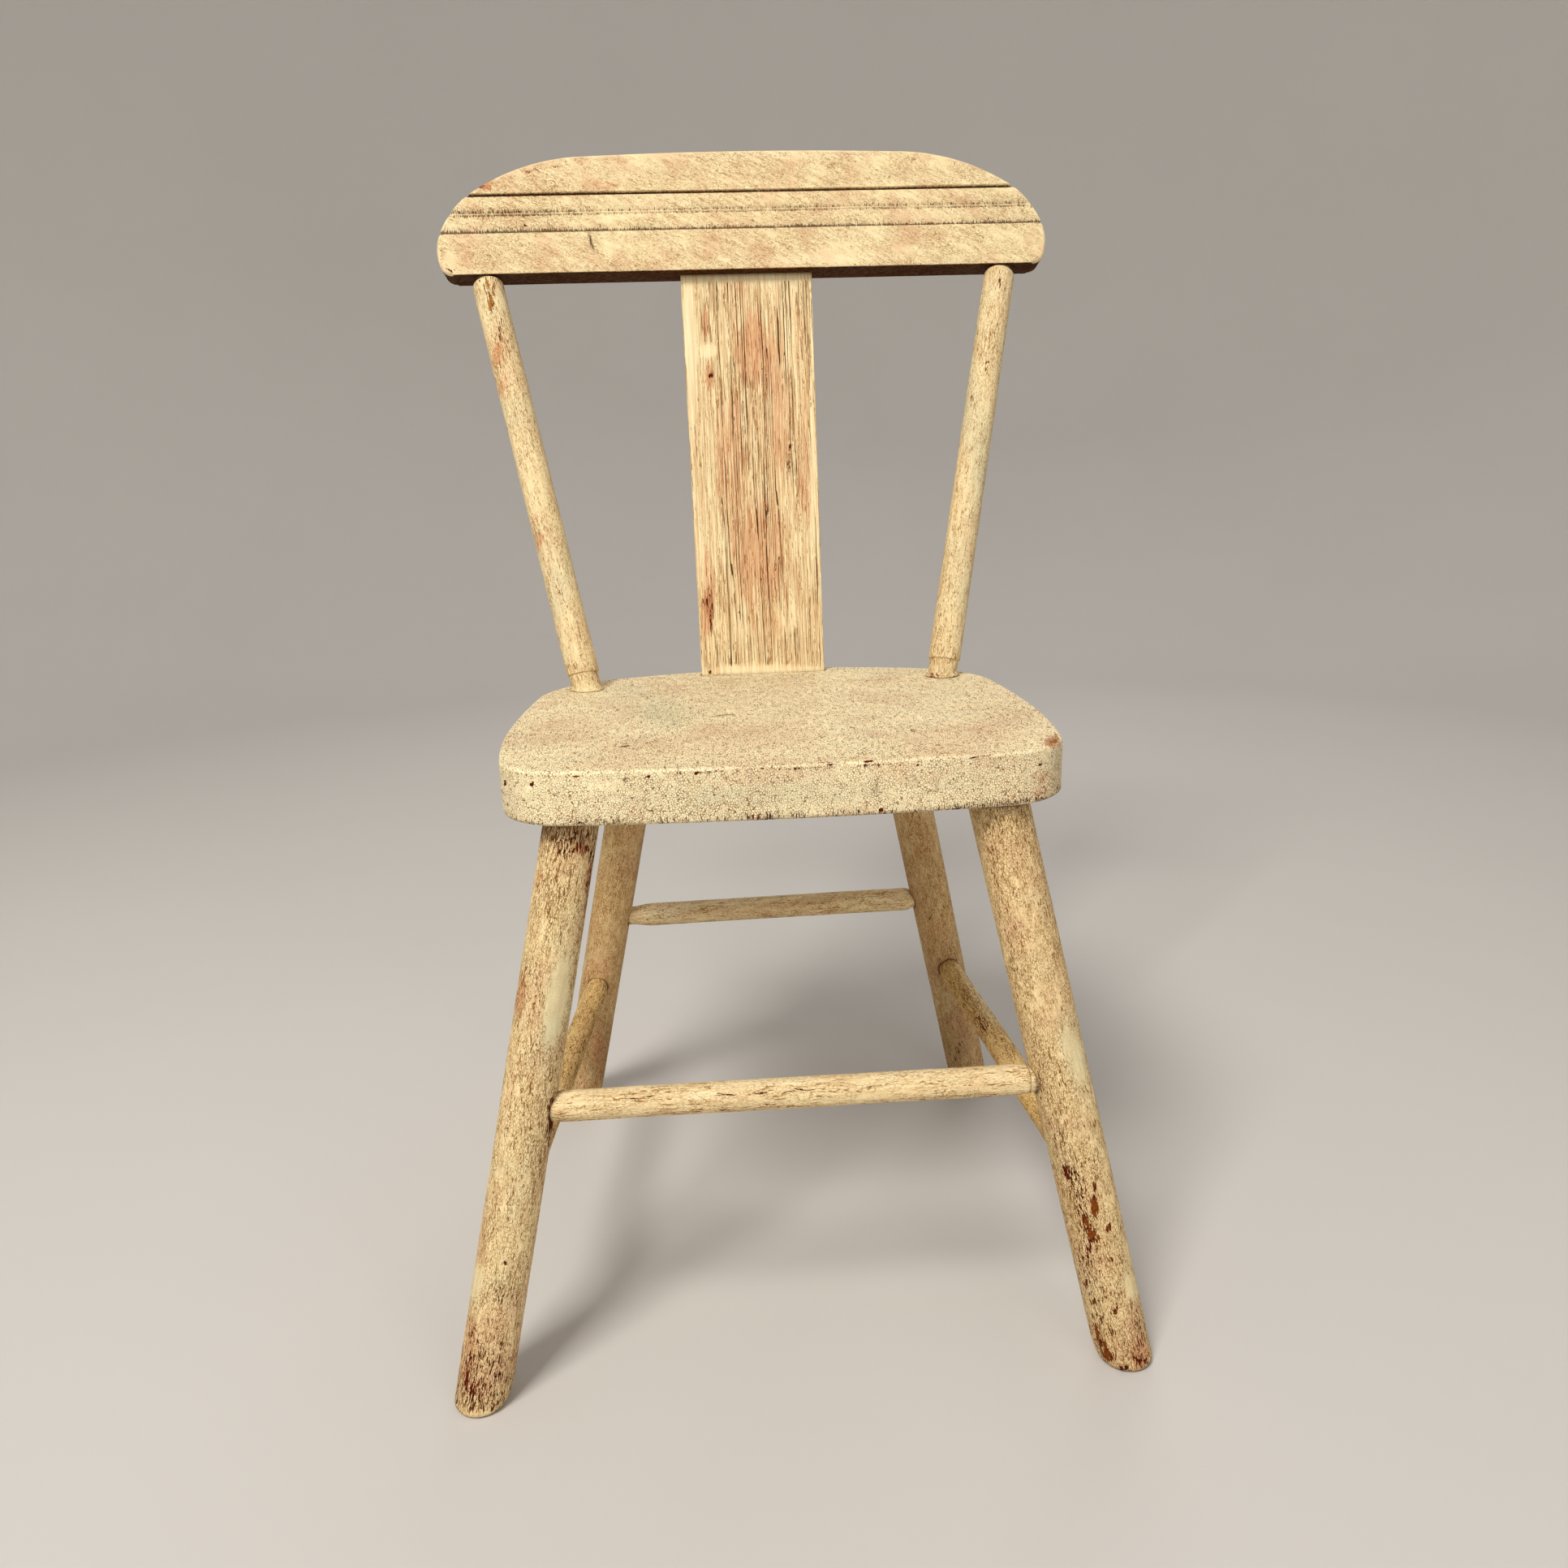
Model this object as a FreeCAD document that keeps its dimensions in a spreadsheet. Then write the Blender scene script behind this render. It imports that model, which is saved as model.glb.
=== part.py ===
import FreeCAD, Part
import Sketcher
import math
import os
from FreeCAD import Vector, Rotation, Placement

# Child's plank-seat side chair, all wood, glued mortise-and-tenon joints.
# Millimetres, +Z up, +Y to the back, +X to the sitter's left as seen from the
# front (the viewer's right). The origin is the bottom centre of the whole
# chair's bounding box, on the floor.

doc = FreeCAD.newDocument("chair")
sheet = doc.addObject("Spreadsheet::Sheet", "Params")

# ---------------------------------------------------------------------------
# Driving dimensions
# ---------------------------------------------------------------------------
CELLS = [
    # seat plank
    ("seat_under", 302.5), ("seat_thick", 26.5),
    ("seat_corner_x", 105.0), ("seat_corner_y", 161.9),
    ("seat_side_x", 139.0), ("seat_side_y", 130.7),
    ("seat_wide_x", 147.0), ("seat_wide_y", 39.4),
    ("seat_rear_x", 144.5), ("seat_rear_y", 40.8),
    ("seat_back_x", 99.6), ("seat_back_y", 103.0),
    ("seat_rad_front", 1154.0), ("seat_rad_corner", 38.0),
    ("seat_rad_side", 527.0), ("seat_rad_rear", 1280.0),
    ("seat_rad_shoulder", 72.0), ("seat_rad_back", 266.0),
    ("seat_top_round", 3.0), ("seat_low_round", 2.0),
    # legs: foot and top positions, diameters
    ("front_foot_x", 169.0), ("front_foot_y", 176.6),
    ("front_top_x", 104.0), ("front_top_y", 141.2),
    ("rear_foot_x", 151.0), ("rear_foot_y", 128.5),
    ("rear_top_x", 83.0), ("rear_top_y", 55.8),
    ("fl_dia_foot", 28.4), ("fl_dia_top", 26.8),
    ("fr_dia_foot", 29.2), ("fr_dia_top", 29.8),
    ("rear_dia_foot", 28.4), ("rear_dia_top", 27.2),
    ("foot_round", 4.5), ("leg_tenon_dia", 18.0), ("leg_tenon_len", 17.5),
    ("leg_mortise_len", 18.5), ("glue_gap", 0.08),
    # stretchers
    ("front_rung_z", 156.2), ("back_rung_left_z", 161.4),
    ("back_rung_right_z", 164.4), ("side_rung_front_z", 104.4),
    ("side_rung_rear_z", 109.3),
    ("front_rung_dia", 15.3), ("back_rung_dia", 15.8), ("side_rung_dia", 15.8),
    ("front_rung_end", 14.6), ("back_rung_end", 12.6), ("side_rung_end", 14.2),
    ("front_rung_taper", 6.0), ("back_rung_taper", 16.0),
    ("side_rung_taper", 9.0),
    ("rung_house", 3.0), ("rung_tenon_dia", 10.0), ("rung_tenon_len", 12.0),
    ("rung_shoulder", 1.6), ("house_ease", 0.55),
    # posts
    ("post_foot_x", 116.4), ("post_foot_y", 63.8),
    ("post_top_x", 175.0), ("post_top_y", 163.8),
    ("post_dia", 20.6), ("post_neck_dia", 18.6), ("post_neck_len", 10.5),
    ("post_shoulder", 4.6), ("post_tenon_dia", 13.0),
    ("post_tenon_low", 17.0), ("post_tenon_high", 18.0),
    ("post_low_gap", 1.0), ("post_high_gap", 1.8),
    # splat
    ("splat_low_half", 42.2), ("splat_high_half", 44.8),
    ("splat_thick", 8.0), ("splat_front_y", 163.3),
    ("splat_tenon_half", 37.0), ("splat_tenon_thick", 6.0),
    ("splat_tenon_low", 15.0), ("splat_tenon_high", 15.0),
    ("splat_edge", 0.9),
    # crest rail
    ("crest_y", 163.8), ("crest_z", 593.5), ("crest_tilt", 13.0),
    ("crest_thick", 20.0),
    ("crest_low_x", 196.0), ("crest_low_arc_x", 203.2),
    ("crest_low_arc_z", 5.1), ("crest_end_x", 203.5), ("crest_end_z", 25.5),
    ("crest_mid_x", 184.0), ("crest_mid_z", 52.0),
    ("crest_high_x", 105.0), ("crest_high_z", 76.6),
    ("crest_rad_low", 7.6), ("crest_rad_end", 30.5), ("crest_rad_mid", 60.0),
    ("crest_rad_high", 145.0), ("crest_rad_top", 3063.0),
    ("crest_front_round", 2.6), ("crest_back_round", 2.0),
    ("mould_low", 27.1), ("mould_mid", 39.4), ("mould_high", 51.8),
    ("mould_depth", 1.5), ("mould_deep", 2.6),
    # brads
    ("brad_dia", 1.6), ("brad_head_dia", 2.8), ("brad_head_len", 0.8),
    ("brad_len", 15.0), ("brad_up", 9.0), ("brad_splat_x", 22.0),
]
V = {}
for row, (alias, value) in enumerate(CELLS, start=1):
    sheet.set("A%d" % row, alias)
    sheet.set("B%d" % row, "%g" % value)
    sheet.setAlias("B%d" % row, alias)
    V[alias] = float("%g" % value)
doc.recompute()


# ---------------------------------------------------------------------------
# Small helpers for sketches, edges and frames
# ---------------------------------------------------------------------------
def origin_plane(body, role):
    for feat in body.Origin.OriginFeatures:
        if feat.Role == role:
            return feat
    raise RuntimeError("no plane " + role)


def new_body(label):
    body = doc.addObject("PartDesign::Body", label)
    body.Label = label
    return body


def evaluate(text):
    """Value of a cell expression: + - * / and brackets over aliases."""
    tokens, word = [], ""
    for ch in text + " ":
        if ch.isalnum() or ch in "_.":
            word += ch
            continue
        if word:
            tokens.append(word)
            word = ""
        if ch in "+-*/()":
            tokens.append(ch)

    def factor():
        tok = tokens.pop(0)
        if tok == "-":
            return -factor()
        if tok == "(":
            got = total()
            tokens.pop(0)
            return got
        return V[tok] if tok in V else float(tok)

    def product():
        got = factor()
        while tokens and tokens[0] in "*/":
            if tokens.pop(0) == "*":
                got *= factor()
            else:
                got /= factor()
        return got

    def total():
        got = product()
        while tokens and tokens[0] in "+-":
            if tokens.pop(0) == "+":
                got += product()
            else:
                got -= product()
        return got

    return total()


def num(item):
    """A coordinate is a number, or a cell expression given as text."""
    return evaluate(item) if isinstance(item, str) else float(item)


def cell(item):
    """The expression text with each alias led by the sheet's name."""
    out, word = "", ""
    for ch in item + " ":
        if ch.isalnum() or ch == "_":
            word += ch
        else:
            if word:
                out += ("Params." + word) if word in V else word
                word = ""
            out += ch
    return out.strip()


def profile(body, name, role, points, arcs=None):
    """Closed sketch through the points. arcs maps the index of a side to
    (radius, bulge side): +1 when the arc's centre lies left of the side's
    travel, -1 when it lies right."""
    arcs = arcs or {}
    sk = body.newObject("Sketcher::SketchObject", name)
    sk.AttachmentSupport = [(origin_plane(body, role), "")]
    sk.MapMode = "FlatFace"
    pts = [Vector(num(px), num(py), 0) for px, py in points]
    count = len(pts)
    geos, flips = [], {}
    for i in range(count):
        a, b = pts[i], pts[(i + 1) % count]
        if i in arcs:
            radius, side = arcs[i]
            rad = num(radius)
            mid = (a + b) * 0.5
            d = b - a
            half = d.Length / 2.0
            nrm = Vector(-d.y, d.x, 0).normalize() * side
            centre = mid + nrm * math.sqrt(max(rad * rad - half * half, 0.0))
            through = centre - nrm * rad
            geos.append(Part.ArcOfCircle(
                Part.Circle(centre, Vector(0, 0, 1), rad),
                *arc_range(centre, a, through, b)))
            flips[i] = side < 0
        else:
            geos.append(Part.LineSegment(a, b))
    for geo in geos:
        sk.addGeometry(geo, False)

    def ends(i):
        """Point numbers of the side's first and last vertex."""
        return (2, 1) if flips.get(i) else (1, 2)

    for i in range(count):
        j = (i + 1) % count
        sk.addConstraint(Sketcher.Constraint(
            "Coincident", i, ends(i)[1], j, ends(j)[0]))
    for i in range(count):
        first = ends(i)[0]
        px, py = points[i]
        for axis, item, ref in (("X", px, -2), ("Y", py, -1)):
            value = num(item)
            if abs(value) < 1e-9:
                sk.addConstraint(Sketcher.Constraint(
                    "PointOnObject", i, first, ref))
                continue
            sk.addConstraint(Sketcher.Constraint(
                "Distance" + axis, -1, 1, i, first, value))
            if isinstance(item, str):
                cname = "p%d%s" % (i, axis.lower())
                sk.renameConstraint(sk.ConstraintCount - 1, cname)
                sk.setExpression("Constraints." + cname, cell(item))
        if i in arcs:
            radius = arcs[i][0]
            sk.addConstraint(Sketcher.Constraint("Radius", i, num(radius)))
            if isinstance(radius, str):
                cname = "r%d" % i
                sk.renameConstraint(sk.ConstraintCount - 1, cname)
                sk.setExpression("Constraints." + cname, cell(radius))
    sk.Visibility = False
    return sk


def arc_range(centre, a, through, b):
    """Start and end angle of the counter-clockwise arc holding all three."""
    def ang(p):
        return math.atan2(p.y - centre.y, p.x - centre.x)
    s, m, e = ang(a), ang(through), ang(b)
    two = 2 * math.pi
    if (m - s) % two < (e - s) % two:
        return s, s + (e - s) % two
    return e, e + (s - e) % two


def revolve(body, name, sk, subtract=False):
    kind = "PartDesign::Groove" if subtract else "PartDesign::Revolution"
    rev = body.newObject(kind, name)
    rev.Profile = sk
    rev.ReferenceAxis = (sk, ["V_Axis"])
    rev.Angle = 360.0
    return rev


def pad(body, name, sk, length, midplane=False):
    feat = body.newObject("PartDesign::Pad", name)
    feat.Profile = sk
    feat.Length = num(length)
    if isinstance(length, str):
        feat.setExpression("Length", cell(length))
    feat.Midplane = midplane
    return feat


def slice_off(body, name, sk, length=600.0):
    """Cut away the sketch's area, both ways from its plane."""
    feat = body.newObject("PartDesign::Pocket", name)
    feat.Profile = sk
    feat.Length = length
    feat.Midplane = True
    return feat


def edges_where(shape, test):
    return ["Edge%d" % (i + 1) for i, e in enumerate(shape.Edges) if test(e)]


def fillet(body, name, base, names, radius):
    feat = body.newObject("PartDesign::Fillet", name)
    feat.Base = (base, names)
    feat.Radius = num(radius)
    if isinstance(radius, str):
        feat.setExpression("Radius", cell(radius))
    return feat


def bore(body, name, mouth, inward, radius, depth, over=4.0):
    """Round blind hole. mouth and inward are in the body's own frame."""
    feat = body.newObject("PartDesign::SubtractiveCylinder", name)
    feat.Radius = num(radius)
    if isinstance(radius, str):
        feat.setExpression("Radius", cell(radius))
    feat.Height = num(depth) + over
    if isinstance(depth, str):
        feat.setExpression("Height", "(" + cell(depth) + ") + %g" % over)
    unit = Vector(inward).normalize()
    feat.Placement = Placement(mouth - unit * over,
                               Rotation(Vector(0, 0, 1), unit))
    return feat


def box(body, name, kind, corner, size, turn=None):
    """Box feature with its low corner and sizes (x, y, z) in own frame."""
    feat = body.newObject("PartDesign::" + kind, name)
    for prop, item in zip(("Length", "Width", "Height"), size):
        setattr(feat, prop, num(item))
        if isinstance(item, str):
            feat.setExpression(prop, cell(item))
    feat.Placement = Placement(Vector(*[num(c) for c in corner]),
                               turn or Rotation())
    return feat


def lean_frame(foot, top):
    """Frame with its origin at foot, Z towards top, and Y level."""
    axis = (top - foot).normalize()
    level = Vector(0, 0, 1).cross(axis).normalize()
    side = level.cross(axis).normalize()
    rot = Rotation(side, level, axis, "ZXY")
    return Placement(foot, rot), axis, math.acos(axis.z)


def local(placement, point):
    return placement.inverse().multVec(point)


def local_dir(placement, vec):
    return placement.Rotation.inverted().multVec(vec)


SEAT_TOP = V["seat_under"] + V["seat_thick"]
TILT = math.radians(V["crest_tilt"])

# ---------------------------------------------------------------------------
# Centre lines of the legs, stretchers and posts
# ---------------------------------------------------------------------------
FOOT = {
    "front_left": Vector(-V["front_foot_x"], -V["front_foot_y"], 0),
    "front_right": Vector(V["front_foot_x"], -V["front_foot_y"], 0),
    "rear_left": Vector(-V["rear_foot_x"], V["rear_foot_y"], 0),
    "rear_right": Vector(V["rear_foot_x"], V["rear_foot_y"], 0),
}
HEAD = {
    "front_left": Vector(-V["front_top_x"], -V["front_top_y"], V["seat_under"]),
    "front_right": Vector(V["front_top_x"], -V["front_top_y"], V["seat_under"]),
    "rear_left": Vector(-V["rear_top_x"], V["rear_top_y"], V["seat_under"]),
    "rear_right": Vector(V["rear_top_x"], V["rear_top_y"], V["seat_under"]),
}
LEG_DIA = {
    "front_left": ("fl_dia_foot", "fl_dia_top"),
    "front_right": ("fr_dia_foot", "fr_dia_top"),
    "rear_left": ("rear_dia_foot", "rear_dia_top"),
    "rear_right": ("rear_dia_foot", "rear_dia_top"),
}


def on_leg(leg, z):
    return FOOT[leg] + (HEAD[leg] - FOOT[leg]) * (z / V["seat_under"])


def leg_radius(leg, z):
    low, high = LEG_DIA[leg]
    return 0.5 * (V[low] + (V[high] - V[low]) * z / V["seat_under"])


def surface_run(leg, point, toward):
    """Length along toward from a point on the leg's axis to its surface."""
    axis = (HEAD[leg] - FOOT[leg]).normalize()
    unit = Vector(toward).normalize()
    across = math.sqrt(1.0 - unit.dot(axis) ** 2)
    return leg_radius(leg, point.z) / across


# name: leg at the low end, its height, leg at the high end, its height,
#       diameter, end diameter, taper, how far short each shoulder stops
RUNGS = {
    "front_stretcher": ("front_left", "front_rung_z", "front_right",
                        "front_rung_z", "front_rung_dia", "front_rung_end",
                        "front_rung_taper", 0.0, 5.2),
    "back_stretcher": ("rear_left", "back_rung_left_z", "rear_right",
                       "back_rung_right_z", "back_rung_dia", "back_rung_end",
                       "back_rung_taper", 0.8, 0.6),
    "left_side_stretcher": ("rear_left", "side_rung_rear_z", "front_left",
                            "side_rung_front_z", "side_rung_dia",
                            "side_rung_end", "side_rung_taper", 1.2, 0.3),
    "right_side_stretcher": ("rear_right", "side_rung_rear_z", "front_right",
                             "side_rung_front_z", "side_rung_dia",
                             "side_rung_end", "side_rung_taper", 0.0, 0.3),
}
rung_geo = {}
for name, (la, za, lb, zb, dia, end, taper, short_a, short_b) in RUNGS.items():
    pa, pb = on_leg(la, V[za]), on_leg(lb, V[zb])
    unit = (pb - pa).normalize()
    # the shoulder sits rung_house inside the leg's nearest surface line,
    # less the amount by which this end stops short
    sa = pa + unit * (surface_run(la, pa, unit) - V["rung_house"] + short_a)
    sb = pb - unit * (surface_run(lb, pb, unit) - V["rung_house"] + short_b)
    rung_geo[name] = (sa, sb, unit, la, lb, short_a, short_b)

solids = {}

# ---------------------------------------------------------------------------
# Seat: one plank, bowed front, round-cornered, with blind mortises
# ---------------------------------------------------------------------------
seat = new_body("seat")
outline = [
    ("-seat_corner_x", "-seat_corner_y"), ("seat_corner_x", "-seat_corner_y"),
    ("seat_side_x", "-seat_side_y"), ("seat_wide_x", "-seat_wide_y"),
    ("seat_rear_x", "seat_rear_y"), ("seat_back_x", "seat_back_y"),
    ("-seat_back_x", "seat_back_y"), ("-seat_rear_x", "seat_rear_y"),
    ("-seat_wide_x", "-seat_wide_y"), ("-seat_side_x", "-seat_side_y"),
]
seat_arcs = {
    0: ("seat_rad_front", 1), 1: ("seat_rad_corner", 1),
    2: ("seat_rad_side", 1), 3: ("seat_rad_rear", 1),
    4: ("seat_rad_shoulder", 1), 5: ("seat_rad_back", 1),
    6: ("seat_rad_shoulder", 1), 7: ("seat_rad_rear", 1),
    8: ("seat_rad_side", 1), 9: ("seat_rad_corner", 1),
}
sk = profile(seat, "seat_outline", "XY_Plane", outline, seat_arcs)
plank = pad(seat, "seat_plank", sk, "seat_thick")
doc.recompute()
top_edges = edges_where(plank.Shape, lambda e: min(
    v.Z for v in e.Vertexes) > V["seat_thick"] - 0.01)
rim = fillet(seat, "seat_top_edge", plank, top_edges, "seat_top_round")
doc.recompute()
low_edges = edges_where(rim.Shape, lambda e: max(
    v.Z for v in e.Vertexes) < 0.01 and e.BoundBox.ZMax < 0.01)
rim2 = fillet(seat, "seat_low_edge", rim, low_edges, "seat_low_round")
doc.recompute()
seat.Placement = Placement(Vector(0, 0, V["seat_under"]), Rotation())
seat.setExpression("Placement.Base.z", cell("seat_under"))
for leg in FOOT:
    axis = (HEAD[leg] - FOOT[leg]).normalize()
    bore(seat, leg + "_leg_mortise",
         HEAD[leg] - Vector(0, 0, V["seat_under"]), axis,
         "leg_tenon_dia / 2 + glue_gap", "leg_mortise_len")
POST = {}
for side, sign in (("left", -1), ("right", 1)):
    foot = Vector(sign * V["post_foot_x"], V["post_foot_y"], SEAT_TOP)
    top = Vector(sign * V["post_top_x"], V["post_top_y"], V["crest_z"])
    POST[side] = (foot, top)
    axis = (top - foot).normalize()
    bore(seat, side + "_post_mortise",
         foot - Vector(0, 0, V["seat_under"]), axis * -1,
         "post_tenon_dia / 2 + glue_gap", "post_tenon_low + post_low_gap",
         over=7.0)

# centre plane of the splat: leans like the crest rail
splat_up = Vector(0, math.sin(TILT), math.cos(TILT))
splat_back = Vector(0, math.cos(TILT), -math.sin(TILT))
crest_origin = Vector(0, V["crest_y"], V["crest_z"])
# top of the splat's front face, on the crest rail's underside
dy = V["splat_front_y"] - V["crest_y"]
splat_top = Vector(0, V["splat_front_y"],
                   V["crest_z"] - dy * math.tan(TILT))
splat_run = (splat_top.z - SEAT_TOP) / math.cos(TILT)
splat_low = splat_top - splat_up * splat_run
splat_place = Placement(splat_low, Rotation(
    Vector(1, 0, 0), V["crest_tilt"] * -1))
turn_splat = Rotation(Vector(1, 0, 0), -V["crest_tilt"])
gap = V["glue_gap"]
th0 = (V["splat_thick"] - V["splat_tenon_thick"]) / 2
slot_corner = splat_low - Vector(0, 0, V["seat_under"]) \
    + splat_back * (th0 - gap) - splat_up * (V["splat_tenon_low"] + 1.0) \
    - Vector(V["splat_tenon_half"] + gap, 0, 0)
box(seat, "splat_slot", "SubtractiveBox", tuple(slot_corner),
    ("2 * (splat_tenon_half + glue_gap)", "splat_tenon_thick + 2 * glue_gap",
     "splat_tenon_low + 1 + 8"), turn_splat)
doc.recompute()
solids["seat"] = seat

# ---------------------------------------------------------------------------
# Legs: round, splayed, cut level at the floor and under the seat
# ---------------------------------------------------------------------------
for leg in ("front_left", "front_right", "rear_left", "rear_right"):
    label = leg + "_leg"
    body = new_body(label)
    place, axis, lean = lean_frame(FOOT[leg], HEAD[leg])
    length = (HEAD[leg] - FOOT[leg]).Length
    low, high = LEG_DIA[leg]
    ext = 14.0
    slope = (V[high] - V[low]) / 2.0 / length
    sk = profile(body, label + "_turning", "XZ_Plane", [
        (0, -ext), ("%s / 2 - %.6f" % (low, slope * ext), -ext),
        ("%s / 2 + %.6f" % (high, slope * ext), length + ext),
        (0, length + ext)])
    turned = revolve(body, label + "_blank", sk)
    tl = math.tan(lean)
    w = 40.0
    sk = profile(body, label + "_floor_line", "XZ_Plane", [
        (-w, -w * tl), (-w, -70.0), (w, -70.0), (w, w * tl)])
    slice_off(body, label + "_foot_cut", sk)
    sk = profile(body, label + "_seat_line", "XZ_Plane", [
        (-w, length - w * tl), (w, length + w * tl),
        (w, length + 70.0), (-w, length + 70.0)])
    cut = slice_off(body, label + "_top_cut", sk)
    doc.recompute()

    def is_foot(e):
        up = Vector(-math.sin(lean), 0, math.cos(lean))
        pts = e.discretize(9)
        return all(abs(p.dot(up)) < 0.01 for p in pts)

    names = edges_where(cut.Shape, is_foot)
    rounded = fillet(body, label + "_foot_edge", cut, names, "foot_round")
    doc.recompute()
    tip = "leg_tenon_len"
    sk = profile(body, label + "_tenon_turning", "XZ_Plane", [
        (0, length - 16.0), ("leg_tenon_dia / 2", length - 16.0),
        ("leg_tenon_dia / 2", "%.6f + %s - 1.5" % (length, tip)),
        ("leg_tenon_dia / 2 - 1.5", "%.6f + %s" % (length, tip)),
        (0, "%.6f + %s" % (length, tip))])
    revolve(body, label + "_tenon", sk)
    for name, (sa, sb, unit, la, lb, short_a, short_b) in rung_geo.items():
        for which, point, inward, short in ((la, sa, unit * -1, short_a),
                                            (lb, sb, unit, short_b)):
            if which != leg:
                continue
            end = RUNGS[name][5]
            # shallow housing for the shoulder, and the deeper tenon bore
            if short < V["rung_house"]:
                bore(body, label + "_" + name + "_house", local(place, point),
                     local_dir(place, inward), "%s / 2 + house_ease" % end,
                     0.15, over=16.0)
            bore(body, label + "_" + name + "_mortise", local(place, point),
                 local_dir(place, inward),
                 "rung_tenon_dia / 2 + glue_gap", "rung_tenon_len + 1",
                 over=10.0)
    body.Placement = place
    doc.recompute()
    solids[label] = body

# ---------------------------------------------------------------------------
# Stretchers: round rods, whittled towards the ends, with round tenons
# ---------------------------------------------------------------------------
for name, (sa, sb, unit, la, lb, short_a, short_b) in rung_geo.items():
    body = new_body(name)
    dia, end, taper = RUNGS[name][4:7]
    length = (sb - sa).Length
    ten, shoulder = "rung_tenon_len", "rung_shoulder"
    sk = profile(body, name + "_turning", "XZ_Plane", [
        (0, "-" + ten), ("rung_tenon_dia / 2 - 0.8", "-" + ten),
        ("rung_tenon_dia / 2", "-%s + 0.8" % ten),
        ("rung_tenon_dia / 2", 0),
        ("%s / 2 - %s" % (end, shoulder), 0),
        ("%s / 2" % end, shoulder),
        ("%s / 2" % dia, "%s + %s" % (shoulder, taper)),
        ("%s / 2" % dia, "%.6f - %s - %s" % (length, shoulder, taper)),
        ("%s / 2" % end, "%.6f - %s" % (length, shoulder)),
        ("%s / 2 - %s" % (end, shoulder), length),
        ("rung_tenon_dia / 2", length),
        ("rung_tenon_dia / 2", "%.6f + %s - 0.8" % (length, ten)),
        ("rung_tenon_dia / 2 - 0.8", "%.6f + %s" % (length, ten)),
        (0, "%.6f + %s" % (length, ten))],
        {4: (shoulder, 1), 8: (shoulder, 1)})
    revolve(body, name + "_rod", sk)
    side = unit.cross(Vector(0, 0, 1)).normalize()
    up = side.cross(unit).normalize()
    body.Placement = Placement(sa, Rotation(side, up, unit, "ZXY"))
    doc.recompute()
    solids[name] = body

# ---------------------------------------------------------------------------
# Crest rail frame, used by the posts, the brads and the rail itself
# ---------------------------------------------------------------------------
crest_place = Placement(crest_origin, Rotation(Vector(1, 0, 0),
                                               -V["crest_tilt"]))
crest_normal = splat_back          # from the front face to the back face


def crest_point(x, depth, up):
    """Point at x, depth behind the rail's middle plane, up its face."""
    return crest_origin + Vector(x, 0, 0) + crest_normal * depth \
        + splat_up * up


# where each brad goes in: on the rail's back face
BRADS = []
for sign, side in ((-1, "left"), (1, "right")):
    foot, top = POST[side]
    axis = (top - foot).normalize()
    # centre of the post's tenon at the brad's height up the rail
    t_run = V["brad_up"] / axis.dot(splat_up)
    centre = top + axis * t_run
    rel = centre - crest_origin
    BRADS.append((centre.x, V["brad_up"], side))
for sign in (-1, 1):
    BRADS.append((sign * V["brad_splat_x"], V["brad_up"] - 1.5, "splat"))
half_thick = V["crest_thick"] / 2.0

# ---------------------------------------------------------------------------
# Posts: round, a narrower neck at the seat and a rounded shoulder on top
# ---------------------------------------------------------------------------
for side, sign in (("left", -1), ("right", 1)):
    label = side + "_post"
    body = new_body(label)
    foot, top = POST[side]
    place, axis, lean = lean_frame(foot, top)
    length = (top - foot).Length
    head = "%.6f - post_high_gap" % length
    ext = 9.0
    sk = profile(body, label + "_turning", "XZ_Plane", [
        (0, -ext), ("post_neck_dia / 2", -ext),
        ("post_neck_dia / 2", "post_neck_len"),
        ("post_dia / 2", "post_neck_len + 1.2"),
        ("post_dia / 2", "%s - post_shoulder" % head),
        ("post_dia / 2 - post_shoulder", head),
        (0, head)],
        {4: ("post_shoulder", 1)})
    revolve(body, label + "_blank", sk)
    tl = math.tan(lean)
    w = 30.0
    sk = profile(body, label + "_seat_line", "XZ_Plane", [
        (-w, -w * tl), (-w, -50.0), (w, -50.0), (w, w * tl)])
    slice_off(body, label + "_foot_cut", sk)
    sk = profile(body, label + "_tenon_turning", "XZ_Plane", [
        (0, "-post_tenon_low"), ("post_tenon_dia / 2 - 1", "-post_tenon_low"),
        ("post_tenon_dia / 2", "-post_tenon_low + 1"),
        ("post_tenon_dia / 2", "%.6f + post_tenon_high - 1" % length),
        ("post_tenon_dia / 2 - 1", "%.6f + post_tenon_high" % length),
        (0, "%.6f + post_tenon_high" % length)])
    revolve(body, label + "_tenons", sk)
    for x, up, kind in BRADS:
        if kind == side:
            mouth = crest_point(x, half_thick, up)
            bore(body, label + "_brad_hole", local(place, mouth),
                 local_dir(place, crest_normal * -1), "brad_dia / 2",
                 "brad_len", over=0.0)
    body.Placement = place
    doc.recompute()
    solids[label] = body

# ---------------------------------------------------------------------------
# Splat: flat board, a little wider at the top, with a flat tenon each end
# ---------------------------------------------------------------------------
body = new_body("splat")
grow = (V["splat_high_half"] - V["splat_low_half"]) / splat_run
low_ext = 3.0
sk = profile(body, "splat_outline", "XZ_Plane", [
    ("-splat_low_half + %.6f" % (grow * low_ext), -low_ext),
    ("splat_low_half - %.6f" % (grow * low_ext), -low_ext),
    ("splat_high_half", splat_run), ("-splat_high_half", splat_run)])
board = pad(body, "splat_board", sk, "splat_thick")
doc.recompute()
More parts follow.
